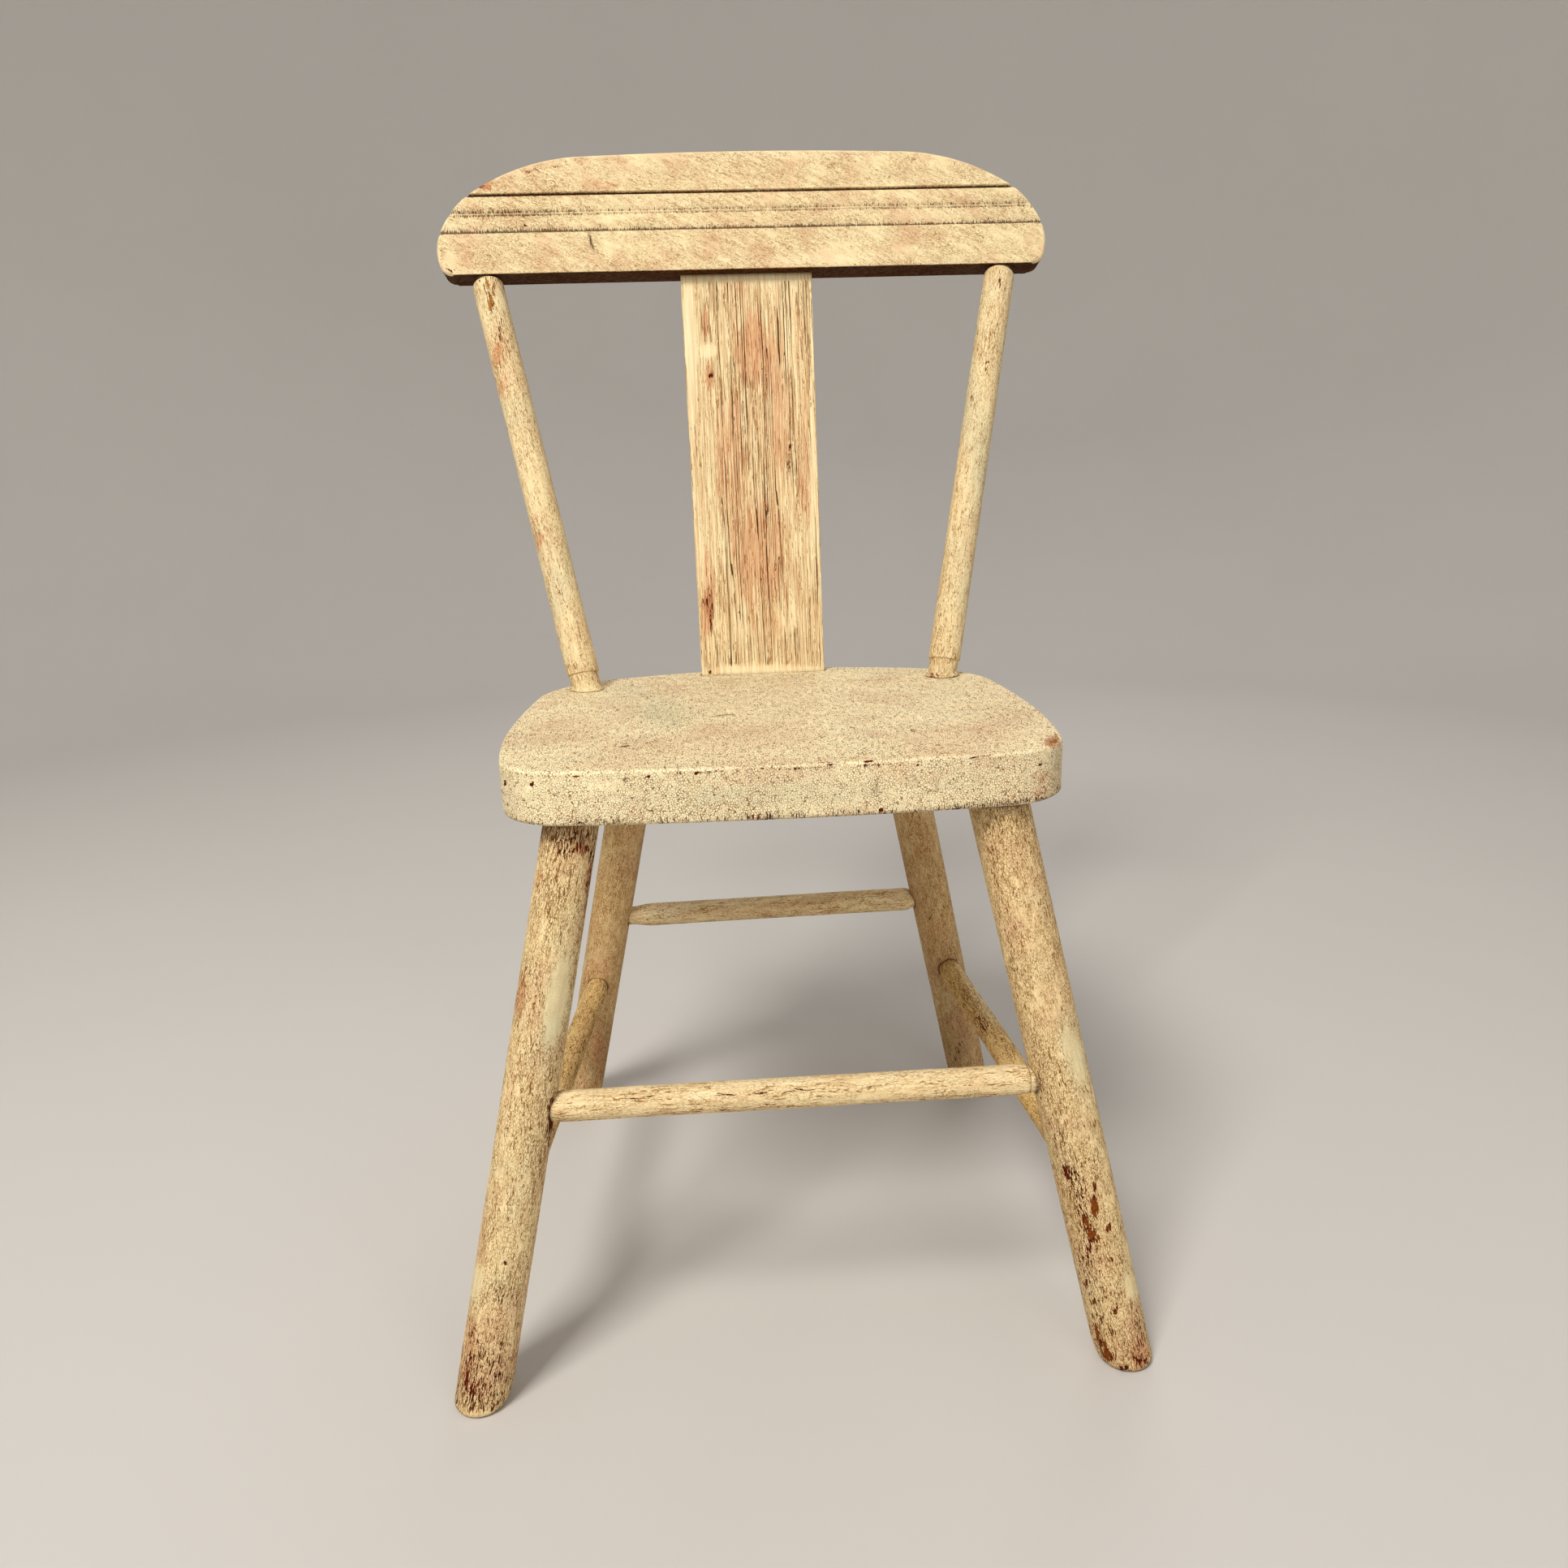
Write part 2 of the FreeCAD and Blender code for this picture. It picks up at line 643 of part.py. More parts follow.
# the board lies behind its front face, which is the sketch's plane
if board.Shape.BoundBox.YMax < 0.01:
    board.Reversed = True
    doc.recompute()
long_edges = edges_where(board.Shape, lambda e: abs(
    e.Vertexes[0].Z - e.Vertexes[-1].Z) > splat_run * 0.8)
soft = fillet(body, "splat_edges", board, long_edges, "splat_edge")
tl = math.tan(TILT)
# level line at the seat in the board's own side view (Y across, Z up)
sk = profile(body, "splat_seat_line", "YZ_Plane", [
    (-20.0, -20.0 * tl), (-20.0, -40.0), (30.0, -40.0), (30.0, 30.0 * tl)])
slice_off(body, "splat_foot_cut", sk)
box(body, "splat_low_tenon", "AdditiveBox",
    ("-splat_tenon_half", "(splat_thick - splat_tenon_thick) / 2",
     "-splat_tenon_low"),
    ("2 * splat_tenon_half", "splat_tenon_thick", "splat_tenon_low + 6"))
box(body, "splat_high_tenon", "AdditiveBox",
    ("-splat_tenon_half", "(splat_thick - splat_tenon_thick) / 2",
     splat_run - 6.0),
    ("2 * splat_tenon_half", "splat_tenon_thick", "splat_tenon_high + 6"))
for n, (x, up, kind) in enumerate(BRADS):
    if kind == "splat":
        mouth = crest_point(x, half_thick, up)
        bore(body, "splat_brad_hole_%d" % n, local(splat_place, mouth),
             local_dir(splat_place, crest_normal * -1), "brad_dia / 2",
             "brad_len", over=0.0)
body.Placement = splat_place
doc.recompute()
solids["splat"] = body

# ---------------------------------------------------------------------------
# Crest rail: thick board, half-elliptical outline, moulded front
# ---------------------------------------------------------------------------
crest = new_body("crest_rail")
outline = [
    ("-crest_low_x", 0), ("crest_low_x", 0),
    ("crest_low_arc_x", "crest_low_arc_z"), ("crest_end_x", "crest_end_z"),
    ("crest_mid_x", "crest_mid_z"), ("crest_high_x", "crest_high_z"),
    ("-crest_high_x", "crest_high_z"), ("-crest_mid_x", "crest_mid_z"),
    ("-crest_end_x", "crest_end_z"), ("-crest_low_arc_x", "crest_low_arc_z"),
]
crest_arcs = {
    1: ("crest_rad_low", 1), 2: ("crest_rad_end", 1), 3: ("crest_rad_mid", 1),
    4: ("crest_rad_high", 1), 5: ("crest_rad_top", 1),
    6: ("crest_rad_high", 1), 7: ("crest_rad_mid", 1),
    8: ("crest_rad_end", 1), 9: ("crest_rad_low", 1),
}
sk = profile(crest, "crest_outline", "XZ_Plane", outline, crest_arcs)
board = pad(crest, "crest_board", sk, "crest_thick", midplane=True)
doc.recompute()


def flat_y(e, y):
    box_e = e.BoundBox
    return abs(box_e.YMin - y) < 0.02 and abs(box_e.YMax - y) < 0.02


front = edges_where(board.Shape, lambda e: flat_y(e, -half_thick)
                    and e.BoundBox.ZMax > 1.0)
soft = fillet(crest, "crest_front_edge", board, front, "crest_front_round")
doc.recompute()
back = edges_where(soft.Shape, lambda e: flat_y(e, half_thick)
                   and e.BoundBox.ZMax > 1.0)
soft2 = fillet(crest, "crest_back_edge", soft, back, "crest_back_round")
doc.recompute()

# moulding: a line, a bead, a double line, a second bead and a deep step.
# In the sketch, x is the depth axis (front face at -crest_thick / 2) and
# y runs up the face.
F = "-crest_thick / 2"
sk = profile(crest, "crest_moulding", "YZ_Plane", [
    ("%s - 3" % F, "mould_low - 0.9"),
    (F, "mould_low - 0.9"),
    ("%s + mould_depth" % F, "mould_low"),
    ("%s + 1.15" % F, "mould_mid - 1.1"),
    ("%s + mould_depth" % F, "mould_mid - 0.7"),
    ("%s + 1.0" % F, "mould_mid"),
    ("%s + mould_depth" % F, "mould_mid + 0.7"),
    ("%s + 1.15" % F, "mould_mid + 1.1"),
    ("%s + 1.1" % F, "mould_high - 1.1"),
    ("%s + mould_deep" % F, "mould_high - 0.3"),
    ("%s + mould_deep" % F, "mould_high + 0.4"),
    (F, "mould_high + 0.7"),
    ("%s - 3" % F, "mould_high + 0.7")],
    {2: (17.0, -1), 7: (16.5, -1)})
mould = slice_off(crest, "crest_moulding_cut", sk, 500.0)
doc.recompute()

for side in ("left", "right"):
    foot, top = POST[side]
    axis = (top - foot).normalize()
    bore(crest, side + "_post_mortise", local(crest_place, top),
         local_dir(crest_place, axis), "post_tenon_dia / 2 + glue_gap",
         "post_tenon_high + 1", over=6.0)
slot = local(crest_place, splat_top)
box(crest, "splat_slot", "SubtractiveBox",
    ("-splat_tenon_half - glue_gap", slot.y + th0 - gap, -5.0),
    ("2 * (splat_tenon_half + glue_gap)", "splat_tenon_thick + 2 * glue_gap",
     "splat_tenon_high + 1 + 5"))
for n, (x, up, kind) in enumerate(BRADS):
    bore(crest, "brad_hole_%d" % n, Vector(x, half_thick, up),
         Vector(0, -1, 0), "brad_dia / 2", "brad_len", over=2.0)
    bore(crest, "brad_head_seat_%d" % n, Vector(x, half_thick, up),
         Vector(0, -1, 0), "brad_head_dia / 2", "brad_head_len", over=2.0)
crest.Placement = crest_place
doc.recompute()
solids["crest_rail"] = crest

# ---------------------------------------------------------------------------
# Brads: small wire nails from the rail's back, through the tenons
# ---------------------------------------------------------------------------
group = []
for n, (x, up, kind) in enumerate(BRADS):
    mouth = crest_point(x, half_thick, up)
    inward = crest_normal * -1
    turn = Rotation(Vector(0, 0, 1), inward)
    shank = doc.addObject("Part::Cylinder", "brad_shank_%d" % n)
    shank.setExpression("Radius", cell("brad_dia / 2"))
    shank.setExpression("Height", cell("brad_len - 2"))
    shank.Placement = Placement(mouth, turn)
    point = doc.addObject("Part::Cone", "brad_point_%d" % n)
    point.setExpression("Radius1", cell("brad_dia / 2"))
    point.Radius2 = 0.15
    point.Height = 2.0
    point.Placement = Placement(mouth + inward * (V["brad_len"] - 2.0), turn)
    head = doc.addObject("Part::Cylinder", "brad_head_%d" % n)
    head.setExpression("Radius", cell("brad_head_dia / 2"))
    head.setExpression("Height", cell("brad_head_len"))
    head.Placement = Placement(mouth, turn)
    one = doc.addObject("Part::MultiFuse", "brad_%d" % n)
    one.Shapes = [shank, point, head]
    group.append(one)
doc.recompute()
brads = doc.addObject("Part::Compound", "crest_brads")
brads.Label = "crest_brads"
brads.Links = group
doc.recompute()
solids["crest_brads"] = brads

# ---------------------------------------------------------------------------
# Checks, then one file per piece
# ---------------------------------------------------------------------------
for obj in doc.Objects:
    if "Invalid" in obj.State or "Error" in obj.State:
        raise RuntimeError("failed: %s %s" % (obj.Name, obj.State))
for label, obj in solids.items():
    shape = obj.Shape
    if shape.isNull() or not shape.isValid():
        raise RuntimeError("bad shape: " + label)
    want = 4 if label == "crest_brads" else 1
    if len(shape.Solids) != want:
        raise RuntimeError("%s has %d solids" % (label, len(shape.Solids)))

os.makedirs("parts", exist_ok=True)
total = None
for label, obj in solids.items():
    obj.Shape.exportStep("parts/%s.step" % label)
    bb = obj.Shape.optimalBoundingBox(False, False)
    total = FreeCAD.BoundBox(bb) if total is None else total.united(bb)
    print("%-22s vol %9.0f  x %7.1f %7.1f  y %7.1f %7.1f  z %7.1f %7.1f" % (
        label, obj.Shape.Volume, bb.XMin, bb.XMax, bb.YMin, bb.YMax,
        bb.ZMin, bb.ZMax))
print("chair x %.2f %.2f y %.2f %.2f z %.2f %.2f" % (
    total.XMin, total.XMax, total.YMin, total.YMax, total.ZMin, total.ZMax))
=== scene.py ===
import math
import bpy
import bmesh
import numpy as np
from mathutils import Matrix, Vector


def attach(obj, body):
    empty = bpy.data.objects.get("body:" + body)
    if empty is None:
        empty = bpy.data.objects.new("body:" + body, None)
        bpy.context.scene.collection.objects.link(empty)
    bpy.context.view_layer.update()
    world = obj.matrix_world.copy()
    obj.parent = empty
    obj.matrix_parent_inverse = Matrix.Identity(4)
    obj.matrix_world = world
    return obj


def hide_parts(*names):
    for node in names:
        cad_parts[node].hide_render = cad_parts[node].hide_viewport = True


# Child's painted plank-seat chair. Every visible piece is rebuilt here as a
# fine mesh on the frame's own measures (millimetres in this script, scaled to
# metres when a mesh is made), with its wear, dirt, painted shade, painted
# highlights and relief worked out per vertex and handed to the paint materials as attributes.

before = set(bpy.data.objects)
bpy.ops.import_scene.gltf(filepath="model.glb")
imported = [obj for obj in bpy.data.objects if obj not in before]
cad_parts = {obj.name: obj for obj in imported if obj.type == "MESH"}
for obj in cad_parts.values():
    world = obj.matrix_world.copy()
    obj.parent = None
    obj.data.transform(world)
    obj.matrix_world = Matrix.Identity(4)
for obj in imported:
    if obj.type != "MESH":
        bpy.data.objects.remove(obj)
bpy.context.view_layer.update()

# ---------------------------------------------------------------------------
# Camera: the photograph's viewpoint
# ---------------------------------------------------------------------------
F_PX, SIDE = 1417.137, 1932.0
EYE = np.array([-29.488, -681.766, 454.501])
YAW, PITCH, ROLL = (math.radians(a) for a in (3.01660, -14.62288, -1.77784))
FWD = np.array([math.sin(YAW) * math.cos(PITCH),
                math.cos(YAW) * math.cos(PITCH), math.sin(PITCH)])
_r0 = np.array([math.cos(YAW), -math.sin(YAW), 0.0])
_u0 = np.cross(_r0, FWD)
RIGHT = _r0 * math.cos(ROLL) + _u0 * math.sin(ROLL)
UPV = -_r0 * math.sin(ROLL) + _u0 * math.cos(ROLL)

cam_data = bpy.data.cameras.new("photo_camera")
cam_data.sensor_width = 36.0
cam_data.lens = F_PX / SIDE * 36.0
cam_data.clip_start, cam_data.clip_end = 0.02, 60.0
cam = bpy.data.objects.new("photo_camera", cam_data)
bpy.context.scene.collection.objects.link(cam)
m = Matrix.Identity(4)
for i in range(3):
    m[i][0], m[i][1], m[i][2] = RIGHT[i], UPV[i], -FWD[i]
    m[i][3] = EYE[i] * 0.001
cam.matrix_world = m
bpy.context.scene.camera = cam


def pixel(co):
    """Where points (mm) fall in the photograph's 1932 px frame."""
    v = co - EYE
    d = v @ FWD
    return (SIDE / 2 + F_PX * (v @ RIGHT) / d, SIDE / 2 - F_PX * (v @ UPV) / d)


# ---------------------------------------------------------------------------
# Small numeric tools
# ---------------------------------------------------------------------------
def unit(v):
    v = np.asarray(v, float)
    return v / np.linalg.norm(v)


def smooth(lo, hi, x):
    t = np.clip((np.asarray(x, float) - lo) / (hi - lo), 0.0, 1.0)
    return t * t * (3 - 2 * t)


def vnoise(p, seed=0):
    """Seeded value noise in -1..1 at points p (n x 3)."""
    p = np.asarray(p, float)
    i = np.floor(p).astype(np.int64)
    f = p - i
    w = f * f * f * (f * (f * 6 - 15) + 10)
    out = np.zeros(len(p))
    for dx in (0, 1):
        wx = w[:, 0] if dx else 1 - w[:, 0]
        for dy in (0, 1):
            wy = w[:, 1] if dy else 1 - w[:, 1]
            for dz in (0, 1):
                wz = w[:, 2] if dz else 1 - w[:, 2]
                h = ((i[:, 0] + dx) * 0x27d4eb2d + (i[:, 1] + dy) * 0x165667b1
                     + (i[:, 2] + dz) * 0x1b873593 + seed * 0x5ebca6b)
                h = h & 0xffffffff
                h ^= h >> 15
                h = (h * 0x2c1b3c6d) & 0xffffffff
                h ^= h >> 12
                h = (h * 0x297a2d39) & 0xffffffff
                h ^= h >> 15
                out += wx * wy * wz * (h / 2147483647.5 - 1.0)
    return out


def fbm(p, seed=0, octaves=3, gain=0.5):
    p = np.asarray(p, float)
    out, amp, tot = np.zeros(len(p)), 1.0, 0.0
    for k in range(octaves):
        out += amp * vnoise(p * (2.03 ** k) + 17.3 * k, seed + 31 * k)
        tot += amp
        amp *= gain
    return out / tot


def arc(p0, p1, radius, n):
    """n+1 points from p0 to p1 on an arc that bulges to the right of travel."""
    p0, p1 = np.array(p0, float), np.array(p1, float)
    mid, chord = (p0 + p1) / 2, p1 - p0
    half = np.linalg.norm(chord) / 2
    left = np.array([-chord[1], chord[0]]) / (2 * half)
    centre = mid + left * math.sqrt(max(radius * radius - half * half, 0.0))
    a0 = math.atan2(*(p0 - centre)[::-1])
    a1 = math.atan2(*(p1 - centre)[::-1])
    while a1 < a0:
        a1 += 2 * math.pi
    t = np.linspace(a0, a1, n + 1)
    return np.stack([centre[0] + radius * np.cos(t),
                     centre[1] + radius * np.sin(t)], 1)


def resample(pts, step, closed=True):
    """Evenly spaced points on a polyline."""
    q = np.vstack([pts, pts[:1]]) if closed else pts
    seg = np.linalg.norm(np.diff(q, axis=0), axis=1)
    run = np.concatenate([[0], np.cumsum(seg)])
    n = max(int(round(run[-1] / step)), 8)
    at = np.linspace(0, run[-1], n + 1)
    if closed:
        at = at[:-1]
    return np.stack([np.interp(at, run, q[:, k]) for k in range(q.shape[1])], 1)


# ---------------------------------------------------------------------------
# Mesh making
# ---------------------------------------------------------------------------
def build(name, co, faces, attrs, material, replaces, sharp=38.0):
    """A closed mesh piece from points in mm, faces and per-vertex attributes."""
    me = bpy.data.meshes.new(name)
    co = np.asarray(co, float)
    me.vertices.add(len(co))
    me.vertices.foreach_set("co", (co * 0.001).astype(np.float32).ravel())
    sizes = np.concatenate([np.full(len(f), f.shape[1]) for f in faces])
    loops = np.concatenate([f.ravel() for f in faces]).astype(np.int32)
    me.loops.add(len(loops))
    me.loops.foreach_set("vertex_index", loops)
    me.polygons.add(len(sizes))
    start = np.concatenate([[0], np.cumsum(sizes)[:-1]]).astype(np.int32)
    me.polygons.foreach_set("loop_start", start)
    me.update(calc_edges=True)
    me.validate()
    bm = bmesh.new()
    bm.from_mesh(me)
    bmesh.ops.recalc_face_normals(bm, faces=bm.faces)
    bm.to_mesh(me)
    bm.free()
    for key, val in attrs.items():
        val = np.asarray(val, np.float32)
        if val.ndim == 2:
            a = me.attributes.new(key, "FLOAT_VECTOR", "POINT")
            a.data.foreach_set("vector", val.ravel())
        else:
            a = me.attributes.new(key, "FLOAT", "POINT")
            a.data.foreach_set("value", val)
    # points that fall together, as at a tenon's shoulder, become one
    bm = bmesh.new()
    bm.from_mesh(me)
    bmesh.ops.remove_doubles(bm, verts=bm.verts, dist=1e-7)
    bm.to_mesh(me)
    bm.free()
    me.shade_smooth()
    me.set_sharp_from_angle(angle=math.radians(sharp))
    ob = bpy.data.objects.new(name, me)
    bpy.context.scene.collection.objects.link(ob)
    me.materials.append(material)
    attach(ob, "root")
    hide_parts(replaces)
    return ob


def grid_faces(rows, cols, base=0, wrap=True):
    """Quads of a rows x cols grid of vertices, closed round the columns."""
    i = np.arange(rows - 1)[:, None]
    j = np.arange(cols if wrap else cols - 1)[None, :]
    k = (j + 1) % cols
    a = base + i * cols + j
    b = base + i * cols + k
    return np.stack([a, b, b + cols, a + cols], -1).reshape(-1, 4)


def fan(centre, first, cols, flip=False):
    j = np.arange(cols)
    k = (j + 1) % cols
    c = np.full(cols, centre)
    return np.stack([c, first + k, first + j] if flip
                    else [c, first + j, first + k], 1)


def facing(co, faces):
    """Rough vertex normals of a mesh given by arrays (outward not assured)."""
    nrm = np.zeros_like(co)
    for f in faces:
        a, b, c = co[f[:, 0]], co[f[:, 1]], co[f[:, 2]]
        n = np.cross(b - a, c - a)
        for k in range(f.shape[1]):
            np.add.at(nrm, f[:, k], n)
    return nrm / np.maximum(np.linalg.norm(nrm, axis=1), 1e-12)[:, None]


def dabs(co, nrm, spots):
    """Sum of soft elliptical dabs given in the photograph's frame, laid only on
    surfaces that look towards the viewpoint. A dab is (x, y, rx, ry, turn in
    degrees, amount)."""
    out = np.zeros(len(co))
    if not spots:
        return out
    px, py = pixel(co)
    see = smooth(0.02, 0.2, np.einsum("ij,ij->i", nrm, unit_rows(EYE - co)))
    for x, y, rx, ry, turn, amount in spots:
        t = math.radians(turn)
        u = (px - x) * math.cos(t) + (py - y) * math.sin(t)
        v = -(px - x) * math.sin(t) + (py - y) * math.cos(t)
        d = np.sqrt((u / rx) ** 2 + (v / ry) ** 2)
        out += amount * (1 - smooth(0.35, 1.0, d))
    return out * see


def unit_rows(v):
    return v / np.maximum(np.linalg.norm(v, axis=1), 1e-12)[:, None]


# ---------------------------------------------------------------------------
# Paint materials
# ---------------------------------------------------------------------------
def srgb(r, g, b):
    def lin(c):
        c /= 255.0
        return c / 12.92 if c <= 0.04045 else ((c + 0.055) / 1.055) ** 2.4
    return (lin(r), lin(g), lin(b), 1.0)


CREAM, BUFF = srgb(240, 216, 164), srgb(222, 194, 143)
GREEN, PINK = srgb(216, 210, 172), srgb(228, 188, 148)
SALMON, RED = srgb(206, 142, 96), srgb(86, 28, 8)
OCHRE, DARK = srgb(130, 66, 20), srgb(58, 24, 4)
OLIVE, BROWN = srgb(100, 62, 12), srgb(112, 54, 10)
STAIN, CORE = srgb(184, 130, 58), srgb(86, 46, 9)
BARE = srgb(170, 112, 40)
PALE_AND_HIGHLIGHT, GRIME_AND_SHADE = srgb(250, 235, 194), srgb(66, 36, 10)


class Tree:
    """Short hand for a material's nodes."""

    def __init__(self, name):
        self.mat = bpy.data.materials.new(name)
        self.mat.use_nodes = True
        self.t = self.mat.node_tree
        self.t.nodes.clear()

    def node(self, kind, **props):
        n = self.t.nodes.new(kind)
        for k, v in props.items():
            setattr(n, k, v)
        return n

    def put(self, sock, v):
        if isinstance(v, bpy.types.NodeSocket):
            self.t.links.new(v, sock)
        elif v is not None:
            sock.default_value = v

    def attr(self, name, vector=False):
        n = self.node("ShaderNodeAttribute", attribute_name=name)
        return n.outputs["Vector" if vector else "Fac"]

    def math(self, op, a, b=None, c=None, clamp=False):
        n = self.node("ShaderNodeMath", operation=op, use_clamp=clamp)
        for s, v in zip(n.inputs, (a, b, c)):
            self.put(s, v)
        return n.outputs[0]

    def vec(self, op, a, b=None):
        n = self.node("ShaderNodeVectorMath", operation=op)
        for s, v in zip(n.inputs, (a, b)):
            self.put(s, v)
        return n.outputs[0]

    def step(self, x, lo, hi, a=0.0, b=1.0):
        n = self.node("ShaderNodeMapRange", interpolation_type="SMOOTHSTEP")
        self.put(n.inputs[0], x)
        for k, v in zip((1, 2, 3, 4), (lo, hi, a, b)):
            self.put(n.inputs[k], v)
        return n.outputs[0]

    def noise(self, vec, scale=1.0, detail=2.0, rough=0.5, colour=False):
        n = self.node("ShaderNodeTexNoise", noise_dimensions="3D")
        self.put(n.inputs["Vector"], vec)
        n.inputs["Scale"].default_value = scale
        n.inputs["Detail"].default_value = detail
        n.inputs["Roughness"].default_value = rough
        return n.outputs["Color" if colour else "Fac"]

    def cells(self, vec, feature="DISTANCE_TO_EDGE", scale=1.0, out="Distance",
              randomness=1.0):
        n = self.node("ShaderNodeTexVoronoi", voronoi_dimensions="3D",
                      feature=feature)
        self.put(n.inputs["Vector"], vec)
        n.inputs["Scale"].default_value = scale
        n.inputs["Randomness"].default_value = randomness
        return n.outputs[out]

    def mix(self, fac, a, b, blend="MIX"):
        n = self.node("ShaderNodeMix", data_type="RGBA", blend_type=blend,
                      clamp_factor=True)
        self.put(n.inputs[0], fac)
        self.put(n.inputs[6], a)
        self.put(n.inputs[7], b)
        return n.outputs[2]


def inv(v):
    return tuple(1.0 / x for x in v)


def paint(name, cell=(5.0, 1.5, 1.5), gap=0.20, crack=0.7, hair=None, hair_amt=0.5,
          stroke=None, stroke_at=0.63, stroke_amt=0.9, chips=(9.0, 1.8, 1.8),
          tick=(1.0, 4.0, 4.0), tick_k=1.4, streak=(9.0, 2.2, 2.2), patch=34.0,
          green=0.18, pink=0.2, buff=0.8, rough=0.55, turn=None, wander=1.0, rim_k=0.05,
          gate=0.40, net="cells", film=(CREAM, BUFF), streak_at=(0.30, 0.72),
          crisp=0.03, stain=0.5, seam_amt=0.95, rub_amt=0.80, calm=0.5, rub_k=1.5):
    """Old cream paint over a red-brown undercoat. Sizes are in mm in the piece's
    own axes (x along the grain on rods and boards). A net of cracks, short dark
    strokes, chips to the undercoat, grime with painted shade and pale paint with painted highlights are steered
    by the attributes."""
    t = Tree(name)
    co = t.attr("gr", vector=True)
    wear, dirt_and_shade, crk = t.attr("wear"), t.attr("dirt_and_shade"), t.attr("crk")
    tone, rub = t.attr("tone"), t.attr("rub")
    seam_and_shadow, pale_and_highlight, hue = t.attr("seam_and_shadow"), t.attr("pale_and_highlight"), t.attr("hue")
    if turn:
        r = t.node("ShaderNodeVectorRotate", rotation_type="EULER_XYZ")
        t.put(r.inputs["Vector"], co)
        r.inputs["Rotation"].default_value = tuple(math.radians(a) for a in turn)
        cc = r.outputs[0]
    else:
        cc = co
    # wandering of the crack lines
    w1 = t.vec("SUBTRACT", t.noise(cc, 0.15, 1.0, 0.5, colour=True), (0.5, 0.5, 0.5))
    w2 = t.vec("SUBTRACT", t.noise(cc, 0.9, 1.0, 0.6, colour=True), (0.5, 0.5, 0.5))
    k1, k2 = 5.0 * wander, 1.5 * wander
    cw = t.vec("ADD", t.vec("ADD", cc, t.vec("MULTIPLY", w1, (k1, k1, k1))),
               t.vec("MULTIPLY", w2, (k2, k2, k2)))

    if net == "cells":
        big = t.cells(t.vec("MULTIPLY", cw, inv(cell)))
    else:                               # the level lines of a stretched noise
        big = t.math("ABSOLUTE", t.math("SUBTRACT", t.noise(
            t.vec("MULTIPLY", cw, inv(cell)), 1.0, 1.0, 0.5), 0.5))
    open_n = t.noise(t.vec("MULTIPLY", cc, inv(tuple(2.6 * x for x in cell))), 1.0, 2.0, 0.6)
    width = t.math("MULTIPLY", t.step(open_n, 0.36, 0.64, 0.45 * gap, gap),
                   t.math("MULTIPLY_ADD", crk, 0.9, 0.5))
    line = t.math("SUBTRACT", 1.0, t.step(big, t.math("MULTIPLY", width, 0.45), width))
    line = t.math("MULTIPLY", line, t.step(t.math("MULTIPLY_ADD", crk, 0.30, open_n),
                                           gate + 0.15, gate + 0.28, 0.05, 1.0))
    lines = t.math("MULTIPLY", line, crack)
    halo = t.math("SUBTRACT", 1.0, t.step(big, t.math("MULTIPLY", width, 0.6),
                                          t.math("MULTIPLY", width, 2.6)))
    halo = t.math("MULTIPLY", halo, t.step(t.math("MULTIPLY_ADD", crk, 0.30, open_n),
                                           gate + 0.12, gate + 0.28))
    if hair:
        small = t.cells(t.vec("MULTIPLY", cw, inv(hair)))
        hn = t.noise(t.vec("MULTIPLY", cc, inv(tuple(3.4 * x for x in hair))), 1.0, 2.0, 0.5)
        hl = t.math("SUBTRACT", 1.0, t.step(small, 0.03, 0.13))
        hl = t.math("MULTIPLY", hl, t.step(t.math("ADD", hn, t.math(
            "MULTIPLY", crk, 0.3)), 0.44, 0.70))
        lines = t.math("MAXIMUM", lines, t.math("MULTIPLY", hl, hair_amt))
    if stroke:
        sn = t.noise(t.vec("MULTIPLY", cw, inv(stroke)), 1.0, 1.0, 0.5)
        sf = t.math("ADD", t.math("MULTIPLY_ADD", crk, 0.17, -0.085),
                    t.math("MULTIPLY_ADD", wear, 0.24, -0.048))
        ss = t.math("ADD", sn, sf)
        sk = t.step(ss, stroke_at, stroke_at + crisp)
        halo = t.math("MAXIMUM", halo, t.step(ss, stroke_at - 0.06, stroke_at + 0.01))
        # faint where the paint is sound, dark where it is worn
        sk = t.math("MULTIPLY", sk, t.step(wear, 0.17, 0.36, calm * stroke_amt, stroke_amt))
        lines = t.math("MAXIMUM", lines, sk)
    lines = t.math("MULTIPLY", lines, t.step(crk, 0.0, 0.4, 0.10, 1.0), clamp=True)

    # colour of the paint film
    low = t.noise(cc, 1.0 / patch, 3.0, 0.55)
    mid = t.noise(t.vec("MULTIPLY", cc, inv(streak)), 1.0, 3.0, 0.6)
    tiny = t.noise(cc, 1.1, 2.0, 0.6)
    low2 = t.noise(t.vec("ADD", cc, (91.0, 37.0, 53.0)), 1.3 / patch, 3.0, 0.55)
    col = t.mix(t.math("MULTIPLY", t.step(mid, *streak_at), buff), *film)
    gf = t.math("SUBTRACT", t.math("MULTIPLY", t.step(low, 0.46, 0.66), green), tone,
                clamp=True)
    col = t.mix(gf, col, GREEN)
    pf = t.math("ADD", t.math("MULTIPLY", t.step(low2, 0.48, 0.68), pink), tone,
                clamp=True)
    col = t.mix(pf, col, PINK)
    shade = t.math("ADD", t.step(tiny, 0.28, 0.72, 0.92, 1.03),
                   t.step(low2, 0.30, 0.70, 0.03, -0.03))
    col = t.scale(col, shade)
